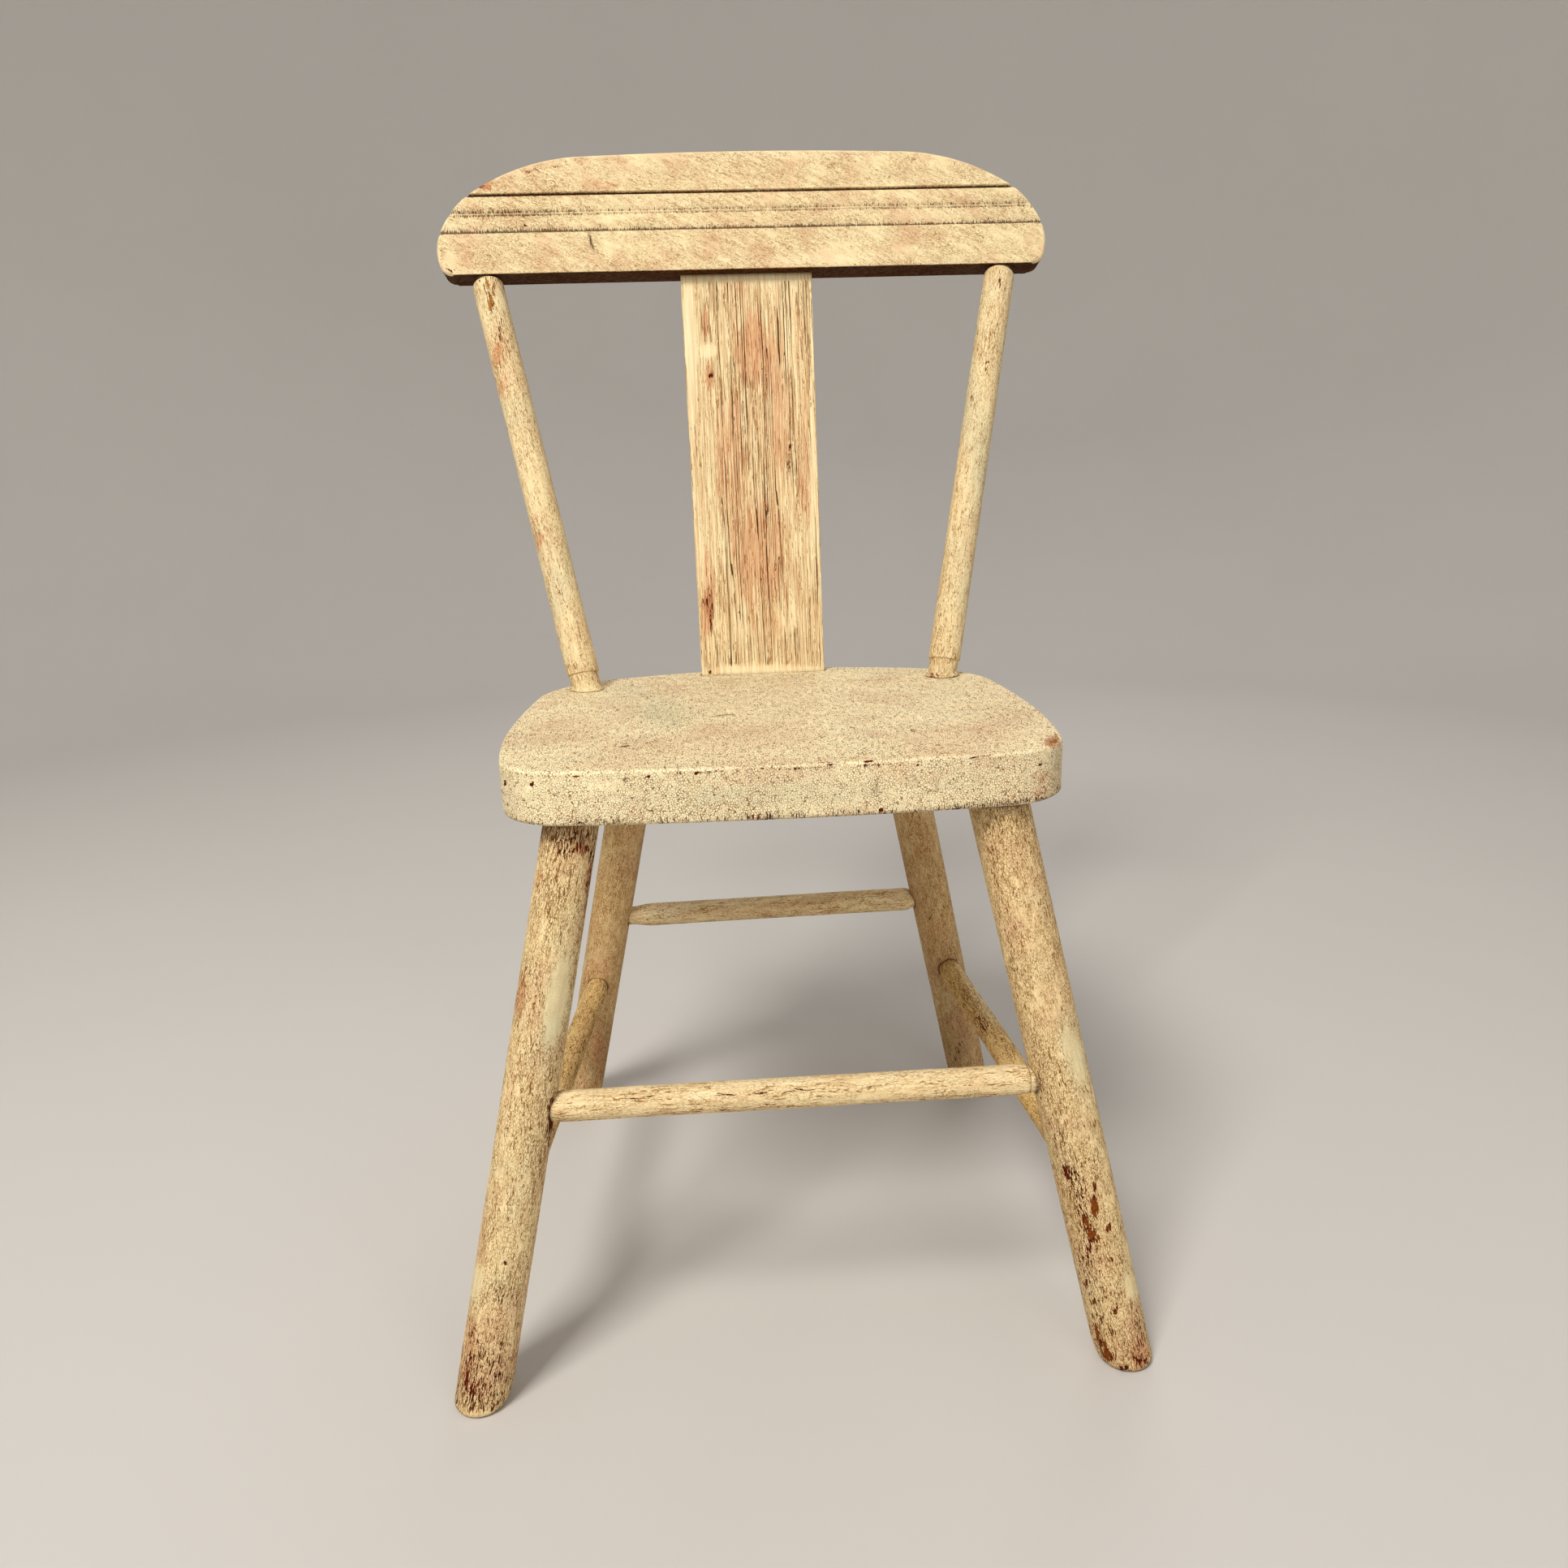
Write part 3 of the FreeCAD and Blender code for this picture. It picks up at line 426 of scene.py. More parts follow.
    # rubbed thin, the undercoat glowing through in streaks
    rn = t.noise(t.vec("MULTIPLY", cc, inv(streak)), 1.9, 4.0, 0.68)
    rf = t.step(t.math("ADD", rub, t.math("MULTIPLY", t.math("SUBTRACT", rn, 0.5), rub_k)),
                0.30, 0.75)
    col = t.mix(t.math("MULTIPLY", rf, rub_amt), col, SALMON)
    # pale paint, and painted highlights along arrises, moulding ridges and the tops of rods
    col = t.mix(pale_and_highlight, col, PALE_AND_HIGHLIGHT)
    # cracks show the grime that has settled in them, with a stained rim
    halo = t.math("MULTIPLY", halo, t.step(crk, 0.0, 0.4, 0.05, stain), clamp=True)
    col = t.mix(halo, col, t.mix(rf, STAIN, srgb(186, 104, 66)))
    col = t.mix(t.math("MULTIPLY", t.step(lines, 0.0, 0.5), 0.42), col,
                t.mix(t.step(wear, 0.12, 0.32), srgb(158, 116, 48), srgb(176, 106, 38)))
    deep = t.mix(t.step(low2, 0.35, 0.65), OLIVE, BROWN)
    deep = t.mix(t.math("MULTIPLY", rf, 0.8), deep, srgb(124, 42, 14))
    deep = t.mix(t.step(lines, 0.55, 0.95), deep, t.mix(
        t.step(wear, 0.22, 0.38), CORE, t.mix(t.step(wear, 0.36, 0.55), DARK, RED)))
    col = t.mix(lines, col, deep)
    # ragged seams: grooves of the mouldings, dark partly with painted shadow, the grain's valleys, edge cracks
    tn = t.noise(t.vec("MULTIPLY", co, inv(tick)), 1.0, 2.0, 0.55)
    sm = t.step(t.math("MULTIPLY_ADD", t.math("SUBTRACT", tn, 0.5), tick_k, seam_and_shadow),
                0.46, 0.64)
    sm = t.math("MULTIPLY", sm, t.step(seam_and_shadow, 0.02, 0.2))
    seam_c = t.mix(t.step(t.noise(co, 0.11, 2.0, 0.6), 0.50, 0.66), srgb(66, 36, 7),
                   srgb(106, 42, 10))
    col = t.mix(t.math("MULTIPLY", sm, seam_amt), col, seam_c)
    # chips down to the undercoat and the wood, with a dark broken edge
    cn = t.noise(t.vec("MULTIPLY", cw, inv(chips)), 1.0, 4.0, 0.60)
    field = t.math("ADD", cn, t.math("MULTIPLY_ADD", wear, 0.53, -0.106))
    edge = t.step(field, 0.735, 0.765)
    chip = t.step(field, 0.768, 0.785)
    n5 = t.noise(t.vec("MULTIPLY", cc, inv(streak)), 2.4, 3.0, 0.6)
    under = t.mix(t.step(t.math("MULTIPLY_ADD", t.math("SUBTRACT", n5, 0.5), 1.2, hue),
                         0.35, 0.65), RED, OCHRE)
    bare = t.step(hue, 0.88, 0.99)
    under = t.mix(bare, under, BARE)
    under = t.mix(t.math("MULTIPLY", t.step(t.noise(cc, 0.8, 3.0, 0.7), 0.54, 0.74),
                         t.step(bare, 0.0, 1.0, 1.0, 0.3)), under, DARK)
    col = t.mix(t.math("MULTIPLY", edge, 0.88), col,
                t.mix(hue, srgb(66, 26, 18), srgb(84, 40, 16)))
    col = t.mix(chip, col, under)
    # grime, and painted shade where the mask carries it, mixed towards one dark brown
    dn = t.noise(cc, 0.55, 4.0, 0.65)
    df = t.math("MULTIPLY", dirt_and_shade, t.step(t.math("ADD", dn, t.math(
        "MULTIPLY", dirt_and_shade, 0.35)), 0.36, 0.64, 0.30, 1.0), clamp=True)
    col = t.mix(df, col, GRIME_AND_SHADE)
    # relief: curled crack rims, sunk chips, brushed film
    rim = t.step(big, gap * 1.0, gap * 3.0, 1.0, 0.0)
    h = t.math("MULTIPLY", rim, t.math("MULTIPLY", crk, rim_k))
    h = t.math("SUBTRACT", h, t.math("MULTIPLY", lines, 0.07))
    h = t.math("SUBTRACT", h, t.math("MULTIPLY", t.math("MAXIMUM", chip, sm), 0.12))
    h = t.math("ADD", h, t.math("MULTIPLY", tiny, 0.05))
    h = t.math("ADD", h, t.math("MULTIPLY", mid, 0.12))
    bump = t.node("ShaderNodeBump")
    bump.inputs["Strength"].default_value = 1.0
    bump.inputs["Distance"].default_value = 0.001
    t.put(bump.inputs["Height"], h)
    out = t.node("ShaderNodeOutputMaterial")
    bsdf = t.node("ShaderNodeBsdfPrincipled")
    t.put(bsdf.inputs["Base Color"], col)
    rg = t.math("ADD", t.step(mid, 0.2, 0.8, rough - 0.06, rough + 0.08),
                t.math("MULTIPLY", t.math("MAXIMUM", chip, lines), 0.28), clamp=True)
    t.put(bsdf.inputs["Roughness"], rg)
    bsdf.inputs["Specular IOR Level"].default_value = 0.05
    t.put(bsdf.inputs["Normal"], bump.outputs[0])
    t.put(out.inputs["Surface"], bsdf.outputs[0])
    return t.mat


def _scale(self, col, k):
    n = self.node("ShaderNodeVectorMath", operation="SCALE")
    self.put(n.inputs[0], col)
    self.put(n.inputs["Scale"], k)
    return n.outputs[0]


Tree.scale = _scale

MAT = {
    "leg": paint("paint_leg", cell=(4.2, 1.1, 1.1), net="lines", gap=0.025, crack=0.86,
                 hair=(2.6, 1.0, 1.0), hair_amt=0.36, stain=0.48, gate=0.36,
                 stroke=(6.0, 0.68, 0.68), stroke_at=0.650, stroke_amt=1.0, calm=0.70,
                 chips=(6.5, 1.1, 1.1), green=0.26, pink=0.40, wander=0.38, rub_amt=0.52,
                 film=(srgb(249, 227, 175), srgb(226, 195, 141))),
    "leg_chipped": paint("paint_leg_chipped", cell=(3.4, 1.05, 1.05), net="lines", gap=0.025,
                         crack=0.84, stroke=(4.6, 0.66, 0.66), stroke_at=0.652,
                         hair=(2.0, 1.0, 1.0), hair_amt=0.40, stain=0.46, gate=0.36,
                         stroke_amt=1.0, calm=0.68, chips=(5.0, 1.5, 1.5), green=0.26,
                         pink=0.36, wander=0.38, rub_amt=0.55,
                         film=(srgb(246, 222, 169), srgb(223, 191, 137))),
    # rear legs: a darker, browner film, partly painted shade
    "leg_back_shaded": paint("paint_leg_back", cell=(6.0, 1.15, 1.15), net="lines", gap=0.024,
                      crack=0.50, stroke=(5.0, 0.75, 0.75), stroke_at=0.668, stroke_amt=0.9,
                      calm=0.55, chips=(6.5, 1.1, 1.1), green=0.08, pink=0.40, patch=26.0,
                      hair=(2.4, 1.0, 1.0), hair_amt=0.40, stain=0.60,
                      wander=0.4, rub_amt=0.45, film=(srgb(222, 194, 142), srgb(194, 160, 108))),
    "post": paint("paint_post", cell=(7.0, 1.25, 1.25), net="lines", gap=0.022, crack=0.60,
                  stroke=(6.0, 0.65, 0.65), stroke_at=0.668, stroke_amt=0.9, calm=0.60,
                  chips=(8.0, 1.4, 1.4), green=0.25, pink=0.20, streak=(14.0, 2.0, 2.0),
                  hair=(3.4, 1.0, 1.0), hair_amt=0.24, wander=0.4, stain=0.45, rub_amt=0.62,
                  film=(srgb(246, 226, 178), srgb(226, 198, 148))),
    "rung": paint("paint_stretcher", cell=(12.0, 1.7, 1.7), net="lines", gap=0.020, crack=0.55,
                  stroke=(9.0, 0.66, 0.66), stroke_at=0.672, stroke_amt=1.0, calm=0.55,
                  chips=(9.0, 1.4, 1.4), tick=(0.55, 4.0, 4.0), tick_k=1.8, seam_amt=0.55,
                  green=0.12, pink=0.2, streak=(14.0, 2.0, 2.0),
                  hair=(3.2, 1.0, 1.0), hair_amt=0.26,
                  wander=0.4, film=(srgb(246, 225, 176), srgb(226, 195, 142))),
    # side stretchers: a browner film, partly painted shade
    "rung_side_shaded": paint("paint_stretcher_side", cell=(7.0, 1.4, 1.4), net="lines", gap=0.024,
                       crack=0.80, stroke=(6.0, 0.66, 0.66), stroke_at=0.652, stroke_amt=1.0,
                       calm=0.65, chips=(7.0, 1.3, 1.3), tick=(0.55, 4.0, 4.0), tick_k=1.8,
                       seam_amt=0.55, green=0.04, pink=0.10, streak=(12.0, 2.0, 2.0),
                       hair=(2.6, 1.0, 1.0), hair_amt=0.40, stain=0.65, wander=0.4,
                       film=(srgb(240, 207, 138), srgb(214, 172, 102))),
    "seat": paint("paint_seat", cell=(1.05, 3.3, 1.15), gap=0.085, crack=0.80,
                  chips=(3.0, 3.0, 2.4), tick=(0.50, 9.0, 2.6), tick_k=1.9,
                  green=0.20, pink=0.30, streak=(4.0, 10.0, 4.0), patch=52.0, wander=0.4,
                  gate=0.30, stain=0.10, film=(srgb(255, 241, 198), srgb(253, 229, 183))),
    "crest": paint("paint_crest", cell=(5.0, 1.1, 2.0), net="lines", gap=0.020, crack=0.62,
                   hair=(3.0, 0.85, 1.4), hair_amt=0.30,
                   stroke=(4.4, 0.54, 1.0), stroke_at=0.658, stroke_amt=0.72, stain=0.35,
                   chips=(4.0, 2.0, 2.0), tick=(0.60, 3.2, 3.2), tick_k=2.0, green=0.06,
                   pink=0.60, buff=0.8, streak=(7.0, 2.2, 2.2), turn=(0, 0, 28.0),
                   seam_amt=0.80, patch=24.0, wander=0.7,
                   film=(srgb(243, 224, 178), srgb(231, 206, 158))),
    "splat": paint("paint_splat", cell=(50.0, 1.3, 1.3), net="lines", gap=0.020, crack=0.55,
                   stroke=(30.0, 0.44, 0.44), stroke_at=0.648, stroke_amt=0.66, stain=0.45,
                   rub_amt=0.60, rub_k=2.3,
                   chips=(14.0, 1.5, 1.5), tick=(24.0, 0.8, 0.8), tick_k=0.4,
                   green=0.05, pink=0.15, buff=0.9, streak=(46.0, 1.25, 1.25), wander=0.18,
                   film=(srgb(244, 226, 180), srgb(219, 184, 136)), streak_at=(0.42, 0.60)),
}


# ---------------------------------------------------------------------------
# Round pieces: legs, posts, stretchers
# ---------------------------------------------------------------------------
def rod(A, B, stations, nphi, n0, n1, shape=None):
    """Rings of nphi points about the line A-B. A station is (s, r, w0, w1): how
    far along, the radius, and how much of each end plane's slope it takes."""
    A, B = np.array(A, float), np.array(B, float)
    a = unit(B - A)
    e1 = unit(np.array([0, -1.0, 0]) - a * np.dot(a, [0, -1.0, 0])) \
        if abs(a[1]) < 0.8 else unit(np.array([-1.0, 0, 0]) - a * np.dot(a, [-1.0, 0, 0]))
    e2 = np.cross(a, e1)
    st = np.array(stations, float)
    phi = np.linspace(0, 2 * math.pi, nphi, endpoint=False)
    S, PH = np.meshgrid(st[:, 0], phi, indexing="ij")
    Rr = np.repeat(st[:, 1:2], nphi, 1)
    if shape is not None:
        Rr = Rr + shape(S, PH, Rr)
    Rr = np.maximum(Rr, 0.02)
    e = np.cos(PH)[..., None] * e1 + np.sin(PH)[..., None] * e2
    d0 = -Rr * (e @ n0) / np.dot(a, n0)
    d1 = -Rr * (e @ n1) / np.dot(a, n1)
    run = S + st[:, 2:3] * d0 + st[:, 3:4] * d1
    co = A + run[..., None] * a + Rr[..., None] * e
    rows, cols = S.shape
    co = co.reshape(-1, 3)
    gr = np.stack([run, Rr * np.cos(PH), Rr * np.sin(PH)], -1).reshape(-1, 3)
    c0 = co[:cols].mean(0)
    c1 = co[-cols:].mean(0)
    co = np.vstack([co, c0, c1])
    gr = np.vstack([gr, gr[:cols].mean(0), gr[-cols:].mean(0)])
    faces = [grid_faces(rows, cols),
             fan(rows * cols, 0, cols, True),
             fan(rows * cols + 1, (rows - 1) * cols, cols)]
    s = np.concatenate([S.ravel(), [st[0, 0], st[-1, 0]]])
    ph = np.concatenate([PH.ravel(), [0, 0]])
    nrm = np.vstack([e.reshape(-1, 3), -a[None], a[None]])
    return co, faces, gr, s, ph, nrm, a


Z = np.array([0, 0, 1.0])
FOOT = {"front_left": (-169, -176.6, 0), "front_right": (169, -176.6, 0),
        "rear_left": (-151, 128.5, 0), "rear_right": (151, 128.5, 0)}
HEAD = {"front_left": (-104, -141.2, 302.5), "front_right": (104, -141.2, 302.5),
        "rear_left": (-83, 55.8, 302.5), "rear_right": (83, 55.8, 302.5)}
LEG_R = {"front_left": (14.2, 13.4), "front_right": (14.6, 14.9),
         "rear_left": (14.2, 13.6), "rear_right": (14.2, 13.6)}


def on_leg(leg, z):
    f, h = np.array(FOOT[leg], float), np.array(HEAD[leg], float)
    return f + (h - f) * (z / 302.5)


def leg_r(leg, z):
    return LEG_R[leg][0] + (LEG_R[leg][1] - LEG_R[leg][0]) * z / 302.5


RUNGS = {
    "front_stretcher": ("front_left", 156.2, "front_right", 156.2, 15.3, 14.6, 6.0, 0.0, 5.2),
    "back_stretcher": ("rear_left", 161.4, "rear_right", 164.4, 15.8, 12.6, 16.0, 0.8, 0.6),
    "left_side_stretcher": ("rear_left", 109.3, "front_left", 104.4, 15.8, 14.2, 9.0, 1.2, 0.3),
    "right_side_stretcher": ("rear_right", 109.3, "front_right", 104.4, 15.8, 14.2, 9.0, 0.0, 0.3),
}
RUNG_LINE = {}
for _n, (la, za, lb, zb, dia, end, taper, sa, sb) in RUNGS.items():
    pa, pb = on_leg(la, za), on_leg(lb, zb)
    u = unit(pb - pa)

    def _run(leg, p):
        ax = unit(np.array(HEAD[leg], float) - np.array(FOOT[leg], float))
        return leg_r(leg, p[2]) / math.sqrt(1 - float(u @ ax) ** 2)
    RUNG_LINE[_n] = (pa + u * (_run(la, pa) - 3.0 + sa),
                     pb - u * (_run(lb, pb) - 3.0 + sb))


def line_gap(co, A, B):
    """Distance of points from the endless line A-B."""
    u = unit(np.array(B) - np.array(A))
    v = co - np.array(A)
    return np.linalg.norm(v - np.outer(v @ u, u), axis=1)


def rod_attrs(gr, s, seed):
    """Base masks that every rod shares, from seeded noise."""
    off = np.array([371.0 * seed, 53.0 * seed, 29.0 * seed])
    n1 = fbm(gr * [1 / 60, 1 / 16, 1 / 16] + seed, seed, 3)
    n2 = fbm(gr * [1 / 34, 1 / 12, 1 / 12] + 7 * seed, seed + 5, 3)
    n3 = fbm(gr * [1 / 45, 1 / 10, 1 / 10] + 3 * seed, seed + 9, 3)
    return off, n1, n2, n3


LEG_DABS = {
    "front_left": {
        "wear": [(598, 1672, 36, 68, 10, 0.09), (582, 1636, 8, 28, 8, 0.26), (575, 1690, 7, 30, 8, 0.24),
                 (590, 1712, 26, 20, 5, 0.14), (622, 1556, 4, 5, 0, 0.60),
                 (618, 1596, 8, 26, 10, 0.20), (640, 1520, 16, 60, 10, 0.08),
                 (682, 1372, 9, 34, 0, 0.42), (676, 1398, 8, 28, 5, 0.30),
                 (716, 1046, 14, 12, 0, 0.14), (660, 1235, 3, 8, 60, 0.35),
                 (706, 1040, 40, 22, 0, 0.20), (728, 1080, 8, 56, 8, 0.24),
                 (716, 1190, 5, 90, 9, 0.14), (620, 1590, 24, 60, 10, 0.10)],
        "rub": [(641, 1225, 11, 50, 10, 0.55), (630, 1330, 9, 80, 10, 0.34),
                (716, 1046, 16, 12, 0, 0.60), (728, 1084, 10, 36, 8, 0.75),
                (662, 1082, 10, 24, 8, 0.40), (724, 1120, 5, 20, 8, 0.40),
                (576, 1660, 14, 70, 8, 0.46), (596, 1716, 30, 22, 0, 0.26)],
        "tone": [(686, 1232, 24, 84, 10, -0.50), (600, 1670, 40, 90, 10, 0.42), (640, 1470, 20, 60, 12, -0.15),
                 (586, 1580, 13, 34, 10, -0.30)],
        "crk": [(700, 1034, 60, 34, 0, 0.60), (728, 1100, 10, 100, 9, 0.45), (690, 1110, 30, 60, 9, 0.22),
                (600, 1690, 50, 70, 10, 0.20), (622, 1580, 26, 60, 10, 0.30), (686, 1235, 18, 75, 10, -0.50),
                (588, 1580, 12, 30, 10, -0.3), (603, 1744, 60, 8, 0, -0.6),
                (641, 1225, 12, 60, 10, 0.40)],
        "hue": [(598, 1672, 36, 68, 10, 0.25)],
        # painted shade at the leg's top under the seat
        "dirt_and_shade": [(700, 1028, 50, 20, 0, 0.26), (732, 1070, 6, 50, 8, 0.16)],
    },
    "front_right": {
        "wear": [(1314, 1444, 7, 15, -10, 0.48), (1349, 1487, 6.5, 22, -6, 0.70),
                 (1349, 1461, 5, 8, -20, 0.45), (1370, 1551, 3, 6, 0, 0.50),
                 (1348, 1604, 3, 7, 0, 0.42), (1370, 1640, 5, 9, -20, 0.46),
                 (1368, 1672, 12, 8, 30, 0.46), (1352, 1640, 5, 14, -10, 0.42), (1358, 1625, 3, 8, 0, 0.4),
                 (1298, 1437, 4, 10, -10, 0.30), (1340, 1512, 3, 6, 0, 0.30),
                 (1347, 1522, 10, 15, -35, 0.52), (1337, 1503, 4, 15, -30, 0.50), (1343, 1540, 4, 6, 0, 0.42),
                 (1366, 1513, 5, 12, 10, 0.55), (1338, 1582, 4, 8, 0, 0.50),
                 (1373, 1613, 6, 13, -10, 0.48), (1360, 1660, 9, 22, -24, 0.42),
                  (1383, 1686, 8, 6, 0, 0.50),
                 (1406, 1674, 10, 12, 0, 0.36), (1402, 1640, 12, 34, -10, 0.16), (1310, 1500, 5, 40, -12, 0.2),
                 (1329, 1600, 5, 60, -12, 0.2), (1330, 1470, 14, 60, -12, 0.18),
                 (1345, 1570, 20, 80, -12, 0.21), (1300, 1400, 12, 40, -12, 0.14),
                 (1355, 1640, 10, 50, -12, 0.10), (1221, 1050, 3, 4, 0, 0.55)],
        "rub": [(1406, 1670, 15, 26, 0, 0.85), (1402, 1640, 16, 40, -10, 0.30), (1390, 1600, 20, 60, -10, 0.10),
                (1260, 1120, 14, 60, -10, 0.12)],
        "tone": [(1322, 1300, 20, 72, -12, -0.35), (1393, 1583, 14, 30, -10, -0.30),
                 (1262, 1160, 24, 70, -12, 0.12)],
        "crk": [(1240, 1050, 40, 60, 0, 0.05), (1325, 1480, 20, 120, -12, 0.3),
                (1322, 1300, 16, 50, -12, -0.35), (1393, 1583, 12, 24, -10, -0.45),
                (1380, 1694, 60, 6, -10, -0.4)],
        "hue": [(1345, 1560, 60, 200, -12, 0.34), (1406, 1668, 18, 24, 0, -0.7)],
    },
    "rear_left": {
        "wear": [(742, 1192, 16, 12, 0, 0.14)],
        "rub": [(738, 1186, 22, 14, 0, 0.42), (726, 1205, 10, 20, 0, 0.30),
                (735, 1260, 18, 60, 0, 0.30), (738, 1300, 16, 40, 0, 0.28)],
        "tone": [(762, 1090, 30, 60, 0, -0.05)], "crk": [], "hue": [],
        # painted shade over this leg
        "dirt_and_shade": [(735, 1290, 30, 70, 0, 0.34), (790, 1060, 8, 60, 8, 0.20),
                 (728, 1450, 40, 130, 0, 0.10)],
    },
    "rear_right": {
        "wear": [(1174, 1268, 5, 5, 0, 0.34), (1182, 1290, 9, 10, 0, 0.26), (1146, 1132, 3, 3, 0, 0.3),
                 (1151, 1198, 2.6, 2.6, 0, 0.4), (1178, 1305, 5, 5, 0, 0.34)],
        "rub": [(1180, 1270, 22, 50, 0, 0.30), (1140, 1040, 20, 40, 0, 0.10)],
        "tone": [(1140, 1060, 26, 70, 0, 0.05)], "crk": [], "hue": [],
        # painted shade over this leg
        "dirt_and_shade": [(1135, 1070, 30, 110, -8, 0.24), (1178, 1275, 26, 70, -8, 0.34),
                 (1160, 1190, 30, 60, -8, 0.24)],
    },
}


def make_leg(leg, seed):
    A, B = np.array(FOOT[leg], float), np.array(HEAD[leg], float)
    L = np.linalg.norm(B - A)
    r0, r1 = LEG_R[leg]
    st = []
    rf = 4.5
    for k in (0.15, 0.45, 0.75, 1.0):
        st.append((0.0, (r0 - rf) * k, 1.0, 0.0))
    for a in np.linspace(0, 90, 9)[1:]:
        c = rf * (1 - math.cos(math.radians(a)))
        st.append((c, r0 - rf + rf * math.sin(math.radians(a)), 1 - c / L, c / L))
    for s in np.arange(rf + 1.0, L - 0.6, 1.25):
        st.append((s, r0 + (r1 - r0) * s / L, 1 - s / L, s / L))
    st.append((L, r1, 0.0, 1.0))
    st.append((L, 9.1, 0.0, 1.0))
    for k, q in ((1.0, 9.0), (6.0, 9.0), (16.0, 9.0), (17.5, 7.5)):
        st.append((L + k, q, 0.0, max(0.0, 1 - k / 6)))

    def shape(S, PH, R):
        x, y = np.cos(PH) * 14, np.sin(PH) * 14
        p = np.stack([S.ravel(), x.ravel(), y.ravel()], 1)
        d = 0.16 * fbm(p * [1 / 70, 1 / 20, 1 / 20], seed, 2) \
            + 0.07 * fbm(p * [1 / 16, 1 / 5, 1 / 5], seed + 3, 2)
        d = d.reshape(S.shape)
        body = smooth(1.0, 12.0, S) * (1 - smooth(L - 14, L - 1, S))
        # the foot is worn rounder in places
        foot = (1 - smooth(1.5, 13.0, S)) * smooth(0.0, 2.0, S) \
            * (0.55 + 0.5 * np.cos(PH - (2.2 if A[0] < 0 else -2.2)))
        return np.where(R > 9.5, d * body - 1.1 * foot, 0.0)

    co, faces, gr, s, ph, nrm, a = rod(A, B, st, 96, Z, Z, shape)
    off, n1, n2, n3 = rod_attrs(gr, s, seed)
    dab = LEG_DABS[leg]
    top = smooth(L - 26, L - 2, s)
    foot = 1 - smooth(4.0, 60.0, s)
    edge = 1 - smooth(1.0, 9.0, s)
    wear = 0.20 + 0.12 * n1 + 0.10 * foot + dabs(co, nrm, dab["wear"])
    # a dark band at the joint with the seat, and painted shade from the seat over the top 22 mm
    dirt_and_shade = 0.9 * smooth(L - 3.0, L - 0.4, s) + 0.30 * smooth(L - 22, L, s) * (0.6 + n3)
    dirt_and_shade += 0.6 * (1 - smooth(0.0, 1.6, s))
    # the listed dabs: painted shade
    dirt_and_shade += dabs(co, nrm, dab.get("dirt_and_shade", []))
    ringed = np.zeros(len(co))
    for name, (pa, pb) in RUNG_LINE.items():
        if leg not in RUNGS[name][0:3:2]:
            continue
        end = pa if RUNGS[name][0] == leg else pb
        near = np.linalg.norm(co - end, axis=1) < 26
        out = ((co - on_leg(leg, end[2])) @ (unit(pb - pa) if end is pa
                                             else unit(pa - pb))) > 2
        ring = 6.7 if (name == "front_stretcher" and end is pb) else RUNGS[name][5] / 2 - 0.3
        gap = np.maximum(line_gap(co, pa, pb) - ring, 0.0)
        dirt_and_shade += near * out * (1 - smooth(0.0, 1.9, gap)) * (0.85 + 0.5 * n3)
        wear += near * out * (1 - smooth(1.0, 9.0, gap)) * 0.10
        rub_ring = near * out * (1 - smooth(1.0, 7.0, gap))
        ringed = np.maximum(ringed, rub_ring)
    crk = 0.50 + 0.35 * n2 + 0.25 * top + 0.2 * foot + dabs(co, nrm, dab["crk"])
    tone = 0.16 * n3 + dabs(co, nrm, dab["tone"])
    rub = 0.12 + 0.26 * n2 + 0.12 * ringed + dabs(co, nrm, dab["rub"])
    hue = 0.25 + 0.3 * n3 + dabs(co, nrm, dab["hue"])
    hide = s > L + 0.2
    wear[hide] = 0.9
    return build(leg + "_leg_painted", co, faces,
                 {"gr": gr + off, "wear": np.clip(wear, 0, 1), "dirt_and_shade": np.clip(dirt_and_shade, 0, 1),
                  "crk": np.clip(crk, 0, 1), "tone": np.clip(tone, -1, 1),
                  "rub": np.clip(rub, 0, 1), "hue": np.clip(hue, 0, 1)},
                 MAT["leg_back_shaded" if "rear" in leg else
                                    ("leg_chipped" if "right" in leg else "leg")],
                 leg + "_leg")


